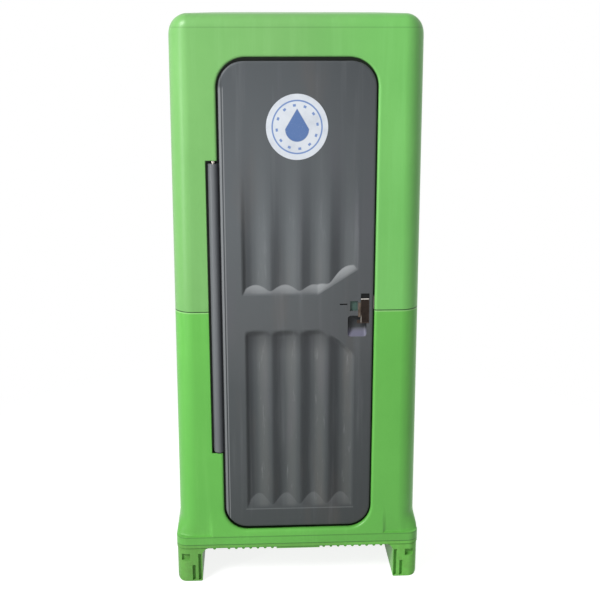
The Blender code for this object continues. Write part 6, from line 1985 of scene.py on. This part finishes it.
@dataclass
class WasteTank:
    """The black tank, with sunk panels in its sloping front and trays beside the seat."""

    front: float = -0.01139
    top: float = 0.6068
    lean: float = 0.0930
    corner: float = 0.030
    steps: tuple[Pair, ...] = (
        (-0.003, -0.02), (-0.003, -0.0003), (-0.0012, 0.0009), (0.0, 0.0018), (0.003, 0.003))
    panels: tuple[tuple[float, float, float, float], ...] = (
        (-0.400, -0.145, 0.225, 0.400), (-0.125, 0.125, 0.225, 0.550), (0.145, 0.420, 0.225, 0.550))
    trays: tuple[tuple[float, float, float, float], ...] = (
        (-0.440, -0.225, 0.040, 0.335), (0.225, 0.440, 0.040, 0.450))

    def tool(self, sizes: Sequence[float], front: bool) -> Piece:
        """A tool that sinks one panel: outlines that draw in as they go deeper.

        Args:
            sizes: Its ends in X, then in Z for the front or in Y for the top.
            front: Whether it lies in the sloping front.

        Returns:
            The tool.
        """
        rings, depths = layers((sizes[0], sizes[2]), (sizes[1], sizes[3]), self.corner, self.steps,
                               rounding=8)
        if not front:
            return surface("tool_tray", flat(rings, self.top - depths))
        grid = upright(rings, self.front + depths)
        grid[..., 1] += (self.top - grid[..., 2]) * self.lean
        return surface("tool_panel", grid)

    def build(self) -> None:
        """Sink the panels into a copy of the tank."""
        tank = carve(copied("waste_tank"), "DIFFERENCE",
                     *(self.tool(sizes, True) for sizes in self.panels),
                     *(self.tool(sizes, False) for sizes in self.trays))
        publish(dress(tank, Finish.TANK_BLACK, 38.0), "cabin", "moulded_black", "waste_tank")


@dataclass
class SeatAndLid:
    """The seat and its lid: rounded ovals with knuckles about one pin; the lid stands open."""

    axis: Pair = (0.41361, 0.6248)
    middle: float = 0.19861
    low: float = 0.6131
    high: float = 0.6311
    outer: Pair = (0.185, 0.195)
    hole: Pair = (0.108, 0.132)
    power: float = 2.3
    section: Pair = (0.55, 0.70)
    seat_knuckle: float = 0.081
    lid_knuckle: float = 0.056
    knuckle_half: float = 0.011
    knuckle: float = 0.010
    knuckle_edge: float = 0.001
    bore: float = 0.0053
    arm: float = 0.040
    opened: float = -100.0
    arm_levels: tuple[Pair, ...] = ((-0.0097, 0.003), (0.0066, 0.0150))
    lid_steps: tuple[Pair, ...] = (
        (0.030, 0.0100), (0.020, 0.0097), (0.0165, 0.0085), (0.0150, 0.0070),
        (0.0130, 0.0066), (0.0030, 0.0066), (0.0006, 0.0074), (-0.0010, 0.0098),
        (-0.0013, 0.0120), (0.0000, 0.0146), (0.0040, 0.0168), (0.0120, 0.0186),
        (0.0300, 0.0203), (0.0600, 0.0215), (0.1000, 0.0223), (0.1500, 0.0226))

    def hinged(self, piece: Piece, at: float, centre: Pair,
               foot: float, head: float) -> Piece:
        """Join a pair of arms with knuckles to a piece and bore them for the pin.

        Args:
            piece: The piece.
            at: How far from the middle the knuckles lie in X.
            centre: The pin's place in Y and Z.
            foot: The arms' underside, from the pin.
            head: Their top, from the pin.

        Returns:
            The piece.
        """
        y, z = centre
        half, edge, r = self.knuckle_half, self.knuckle_edge, self.knuckle
        profile = ((-half, r - edge), (-half + edge, r), (half - edge, r), (half, r - edge))
        for x in (-at, at):
            carve(piece, "UNION",
                  block("tool_arm", (x - half + edge, y - self.arm, z + foot),
                        (x + half - edge, y, z + head)),
                  turned("tool_knuckle", profile, (x, y, z), "x", 40))
            carve(piece, "DIFFERENCE", turned(
                "tool_bore", ((-half - edge, self.bore), (half + edge, self.bore)), (x, y, z),
                "x", 32))
        return piece

    def seat(self) -> Piece:
        """The seat: a superellipse section carried from the outer oval to the hole's.

        Returns:
            The seat.
        """
        turn = np.arange(28)[:, None, None] * 2 * math.pi / 28
        across, rise = (0.5 + 0.5 * np.sign(wave) * np.abs(wave) ** power for wave, power in
                        zip((-np.cos(turn), np.sin(turn)), self.section))
        outer, hole = oval(self.outer, self.middle, self.power), oval(self.hole, self.middle)
        plan = outer + (hole - outer) * across
        level = np.broadcast_to(self.low + (self.high - self.low) * rise, (*plan.shape[:2], 1))
        ring = surface("seat_ring_moulding", np.concatenate((plan, level), axis=-1), closed=True)
        return self.hinged(ring, self.seat_knuckle, self.axis, *self.arm_levels[0])

    def lid(self) -> Piece:
        """The lid: a rim round a sunk underside, a rolled edge and a low dome, then turned open.

        Returns:
            The lid.
        """
        middle = self.middle - self.axis[0]
        rings = np.stack([oval((self.outer[0] - cut, self.outer[1] - cut), middle, self.power)
                          for cut, _ in self.lid_steps])
        lid = surface("seat_lid_moulding", flat(rings, [level for _, level in self.lid_steps]))
        self.hinged(lid, self.lid_knuckle, (0.0, 0.0), *self.arm_levels[1])
        lid.data.transform(Matrix.Translation((0, *self.axis))
                           @ Matrix.Rotation(math.radians(self.opened), 4, "X"))
        return lid

    def build(self) -> None:
        """Build the seat and the lid."""
        publish(dress(self.seat(), Finish.SEAT_BLACK, 42.0), "seat", "moulded_black", "seat_ring")
        publish(dress(self.lid(), Finish.SEAT_BLACK, 42.0), "lid", "moulded_black", "seat_lid")


@dataclass
class Urinal:
    """The white corner bowl: rounded plans that widen upwards in a curve, with a rolled lip."""

    wall_x: float = -0.47893
    middle: float = -0.14639
    low: float = 0.705
    high: float = 0.985
    floor: float = 0.717
    reach: float = 0.165
    half: float = 0.130
    wall: float = 0.006
    lip: float = 0.0035
    deep_curve: Pair = (0.42, 2.1)
    wide_curve: Pair = (0.40, 2.5)
    rounding: tuple[float, ...] = (0.79, 0.79, 0.25, 0.25)
    drain_x: float = -0.43423
    socket: Pair = (0.024, 0.681)
    socket_edge: float = 0.002
    bores: tuple[tuple[float, float, float], ...] = ((0.0163, 0.60, 0.693), (0.0135, 0.69, 0.73))

    def ring(self, z: float, inset: float) -> Array:
        """The bowl's plan at a height, drawn in by an inset.

        Its depth and width grow from a share s of the full size: 1 - (1 - s) times 1 - t to a
        power, where t is the height's share.

        Args:
            z: The height.
            inset: How far inside the outer face it lies.

        Returns:
            One row of points.
        """
        share = min(max((z - self.low) / (self.high - self.low), 0.0), 1.0)
        deep, wide = (size * (1 - (1 - start) * (1 - share) ** power) for size, start, power in (
            (self.reach, *self.deep_curve), (self.half, *self.wide_curve)))
        deep, wide = deep - 2 * inset, wide - inset
        small = min(deep, wide)
        start = self.wall_x + max(inset, 0.0)
        points = rounded_outline((start, self.middle - wide), (start + deep, self.middle + wide),
                                 small * np.array(self.rounding), 12)[0]
        return flat(points[None], np.array((z,)))

    def build(self) -> None:
        """Stack the outer and inner plans, join the drain's socket and bore it."""
        lip, wall = self.lip, self.wall
        turn = np.linspace(0, math.pi, 9)
        rows = [self.ring(z, 0.0) for z in np.linspace(self.low, self.high - 3 * lip, 20)]
        centre, size = (wall - lip) / 2, (wall + lip) / 2
        rows += [self.ring(self.high - lip + math.sin(a) * lip, centre - size * math.cos(a))
                 for a in turn]
        rows += [self.ring(z, wall) for z in np.linspace(self.high - 2 * lip, self.floor, 20)]
        bowl = surface("urinal_bowl_moulding", np.vstack(rows))
        radius, foot = self.socket
        edge, place = self.socket_edge, (self.drain_x, self.middle, 0)
        carve(bowl, "UNION", turned("tool_socket", (
            (foot, radius - edge), (foot + edge, radius), (self.low + wall, radius)), place))
        carve(bowl, "DIFFERENCE", *(turned("tool_bore", ((start, bore), (end, bore)), place)
                                    for bore, start, end in self.bores))
        publish(dress(bowl, Finish.WHITE, 42.0), "cabin", "white_plastic", "urinal_bowl")


@dataclass
class SideVents:
    """The louvred plates high in both side walls: a rounded frame and four curved hoods."""

    inner: float = 0.47937
    outer: float = 0.48437
    middle: float = 2.010
    half: Pair = (0.120, 0.0475)
    reach: float = 0.0975
    slots: int = 4
    pitch: float = 0.0155
    height: float = 0.008
    corner: float = 0.012
    edge: float = 0.002
    hood: float = 0.0045
    hood_wall: float = 0.0013
    hood_lap: float = 0.001
    hood_root: float = 0.002
    hood_over: float = 0.003

    @property
    def places(self) -> Array:
        """The slots' middles in Z."""
        return self.middle + (np.arange(self.slots) - (self.slots - 1) / 2) * self.pitch

    def plate(self) -> Piece:
        """The frame on the +X side: rounded rectangles that step outwards.

        Returns:
            The frame, not yet slotted.
        """
        edge, (wide, tall) = self.edge, self.half
        steps = ((0.0, self.inner), (0.0, self.outer - edge),
                 (edge * ROLL, self.outer - edge * ROLL), (edge, self.outer))
        grid = upright(*layers((-wide, self.middle - tall), (wide, self.middle + tall),
                               self.corner, steps))
        return surface("side_vent", grid[..., (1, 0, 2)])

    def hoods(self) -> Array:
        """Each hood's section is a quarter circle of a thin strip, drawn along Y.

        Returns:
            Points by hood, row, column and axis.
        """
        turn = np.linspace(0, math.pi / 2, 8)
        high, low = self.height + self.hood_lap, self.height - self.hood_lap
        wave = np.column_stack((np.sin(turn), np.cos(turn)))
        line = np.vstack((((-self.hood_root, high),), wave * (self.hood, high),
                          (wave * (self.hood - self.hood_wall, low))[::-1],
                          ((-self.hood_root, low),)))
        ends = np.array((-1.0, 1.0))[None, :, None] * (self.reach + self.hood_over)
        x = self.outer + line[:, 0][None, None]
        z = self.places[:, None, None] - self.height / 2 + line[:, 1][None, None]
        return np.stack(np.broadcast_arrays(x, ends, z), axis=-1)

    def build(self) -> None:
        """Cut the slots, set the hoods over them and mirror the plate to the other side."""
        for side, node in ((-1, "side_vent_left"), (1, "side_vent_right")):
            plate = carve(self.plate(), "DIFFERENCE", *(
                block("tool_slot", (self.inner - self.reach, -self.reach, z - self.height / 2),
                      (self.outer + self.reach, self.reach, z + self.height / 2))
                for z in self.places))
            carve(plate, "UNION", *(shells("tool_hood", hood[None]) for hood in self.hoods()))
            plate.name = node + "_louvred"
            if side < 0:
                plate.data.transform(Matrix.Diagonal((-1, 1, 1, 1)))
                plate.data.flip_normals()
            publish(dress(plate, Finish.UPPER_GREEN, 34.0), "cabin", "shell_green", node)


@dataclass
class SmallFittings:
    """Pieces whose CAD shape is right and that get rounded edges and their finish."""

    def build(self) -> None:
        """Rework each node in the table of its finish, body, slot and edge."""
        table = (
            (Finish.BASE_GREEN, "cabin", "shell_green", {"base_pallet": 0.0}),
            (Finish.STEEL, "cabin", "steel", {"keeper_plate": 0.0004}),
            (Finish.PALE_GREY, "cabin", "pale_grey", {
                "seat_bracket_left": 0.0008, "seat_bracket_right": 0.0008}),
            (Finish.STEEL, "cabin", "steel", {"seat_hinge_pin": 0.0004}),
            (Finish.PALE_GREY, "cabin", "pale_grey", {
                "vent_pipe": 0.0, "vent_clip_lower": 0.0006, "vent_clip_upper": 0.0006,
                "rear_vent_grille": 0.0006, "urinal_drain_pipe": 0.0, "paper_holder": 0.0008,
                "paper_spindle": 0.0004}),
            (Finish.CARD, "roll", "card", {"paper_core": 0.0}),
            (Finish.PAPER, "roll", "paper", {"paper_roll": 0.0}),
            (Finish.STEEL, "cabin", "steel", {"coat_hook": 0.0}),
            (Finish.FITTING_BLACK, "door", "moulded_black", {
                "lock_housing": 0.0006, "door_pull": 0.0}),
            (Finish.STEEL, "lock_bolt", "steel", {"lock_bolt": 0.0008}),
            (Finish.FLAG, "lock_bolt", "flag_green", {"indicator_flag": 0.0003}),
            (Finish.STEEL, "cabin", "steel", {
                f"seam_bolt_{number}": 0.0005 for number in range(1, 7)}),
        )
        for finish, body, slot, nodes in table:
            for node, edge in nodes.items():
                reworked(node, finish, body, slot, edge)
        for number in range(1, 5):
            reworked(f"housing_screw_{number}", Finish.STEEL, "door", "steel", 0.0004)
            reworked(f"seat_bumper_{number}", Finish.RUBBER, "seat", "rubber", 0.0005)


@dataclass
class Studio:
    """The photograph's camera, soft lamps, a pale floor and a white surround."""

    place: Point = (-0.1815, -4.3888, 2.2568)
    pitch: float = 15.094
    yaw: float = 2.811
    lens: float = 61.52
    ambient: float = 0.34
    floor_reach: float = 9.0
    floor_drop: float = 0.0004
    floor_fade: Pair = (0.9, 2.4)
    floor_grey: float = 0.62
    shadow_grey: float = 0.30
    floor_glow: float = 0.86
    lamps: tuple[tuple[str, Point, Pair, float, Point, bool], ...] = (
        ("key", (-3.3, -3.7, 4.4), (1.8, 1.8), 320.0, (0.0, -0.3, 1.2), True),
        ("strip", (-3.75, -3.3, 1.45), (0.20, 1.9), 44.0, (-0.45, -0.5, 1.45), True),
        ("back fill", (3.3, 4.1, 3.4), (2.4, 2.4), 150.0, (0.0, 0.0, 1.2), False),
        ("side fill", (4.6, 0.4, 2.8), (3.0, 3.0), 8.0, (0.0, 0.0, 1.2), True))

    def camera(self) -> None:
        """Stand the camera where the photograph was taken from."""
        pitch, yaw = math.radians(self.pitch), math.radians(self.yaw)
        ahead = Vector((math.sin(yaw) * math.cos(pitch), math.cos(yaw) * math.cos(pitch),
                        -math.sin(pitch)))
        right = Vector((math.cos(yaw), -math.sin(yaw), 0))
        turn = Matrix((right, right.cross(ahead), -ahead)).transposed().to_4x4()
        camera = placed("camera", bpy.data.cameras.new("camera"))
        camera.data.lens, camera.data.sensor_width = self.lens, 36.0
        camera.matrix_world = Matrix.Translation(self.place) @ turn
        bpy.context.scene.camera = camera

    def lamp(self, name: str, place: Point, size: Pair, power: float,
             aim: Point, sheen: bool) -> None:
        """Hang a soft lamp.

        Args:
            name: The lamp's name.
            place: Where it hangs.
            size: Its width and height.
            power: Its power in watts.
            aim: What it points at.
            sheen: Whether glossy surfaces mirror it.
        """
        data = bpy.data.lights.new(name, "AREA")
        data.shape, data.energy = "RECTANGLE", power
        data.size, data.size_y = size
        lamp = placed(name, data)
        lamp.location = place
        lamp.rotation_euler = (Vector(aim) - Vector(place)).to_track_quat("-Z", "Y").to_euler()
        lamp.visible_camera = False
        lamp.visible_glossy = sheen

    def seen(self, tree: Recipe) -> Dial:
        """Be 1 for rays that show a thing: from the camera, off gloss or through glass.

        Args:
            tree: The tree that the mask is made in.

        Returns:
            The mask.
        """
        path = tree.add("ShaderNodeLightPath", {}, {})
        rays = [Dial(tree, path.outputs[name]) for name in
                ("Is Camera Ray", "Is Glossy Ray", "Is Transmission Ray")]
        return rays[0].greater(rays[1]).greater(rays[2])

    def surround(self) -> None:
        """A world that is white to look at and lights the cabin more softly."""
        world = bpy.data.worlds.new("surround")
        world.use_nodes = True
        bpy.context.scene.world = world
        recipe = Recipe.__new__(Recipe)
        recipe.tree = world.node_tree
        back = world.node_tree.nodes["Background"]
        back.inputs["Color"].default_value = (1, 1, 1, 1)
        strength = self.seen(recipe) * (1 - self.ambient) + self.ambient
        world.node_tree.links.new(strength.socket, back.inputs["Strength"])

    def floor(self) -> None:
        """A wide pale floor that looks white and keeps the cabin's shadow."""
        reach, level = self.floor_reach, -self.floor_drop
        grid = np.array([[(x, y, level) for x in (-reach, reach)] for y in (-reach, reach)])
        floor = surface("floor", grid, wrap=False)
        recipe = Recipe("pale floor")
        tree = recipe.tree
        bounce, shadow = (recipe.out("ShaderNodeBsdfDiffuse", {}, {"Color": (grey,) * 3})
                          for grey in (self.floor_grey, self.shadow_grey))
        glow, white = (
            recipe.out("ShaderNodeEmission", {}, {"Color": (1.0,) * 3, "Strength": power})
            for power in (self.floor_glow, 1.0))
        across, deep, _ = recipe.axes(recipe.place())
        far = ((across * across + deep * deep) ** 0.5).rise(*self.floor_fade)
        near = recipe.out("ShaderNodeAddShader", {}, {0: shadow, 1: glow})
        shown = recipe.out("ShaderNodeMixShader", {}, {0: far, 1: near, 2: white})
        mixed = recipe.out("ShaderNodeMixShader", {}, {0: self.seen(recipe), 1: bounce, 2: shown})
        tree.links.new(mixed.socket, tree.nodes["Material Output"].inputs["Surface"])
        tree.nodes.remove(recipe.shader)
        floor.data.materials.append(recipe.material)

    def build(self) -> None:
        """Set up the whole studio."""
        self.camera()
        self.surround()
        self.floor()
        for lamp in self.lamps:
            self.lamp(*lamp)
        bpy.context.scene.view_settings.view_transform = "Standard"


def main() -> None:
    """Build the studio and every sub-assembly in order, and report each piece."""
    logging.basicConfig(level=logging.INFO, format="%(name)s: %(message)s")
    Studio().build()
    form = CabinForm()
    CabinShells(form).build()
    DoorLeaf().build()
    DoorHinge().build()
    DoorLatch().build()
    LockKnob().build()
    DoorLabel().build()
    BaseRunners(form).build()
    FloorPanel(form).build()
    WasteTank().build()
    SeatAndLid().build()
    Urinal().build()
    SideVents().build()
    SmallFittings().build()


if __name__ == "__main__":
    main()
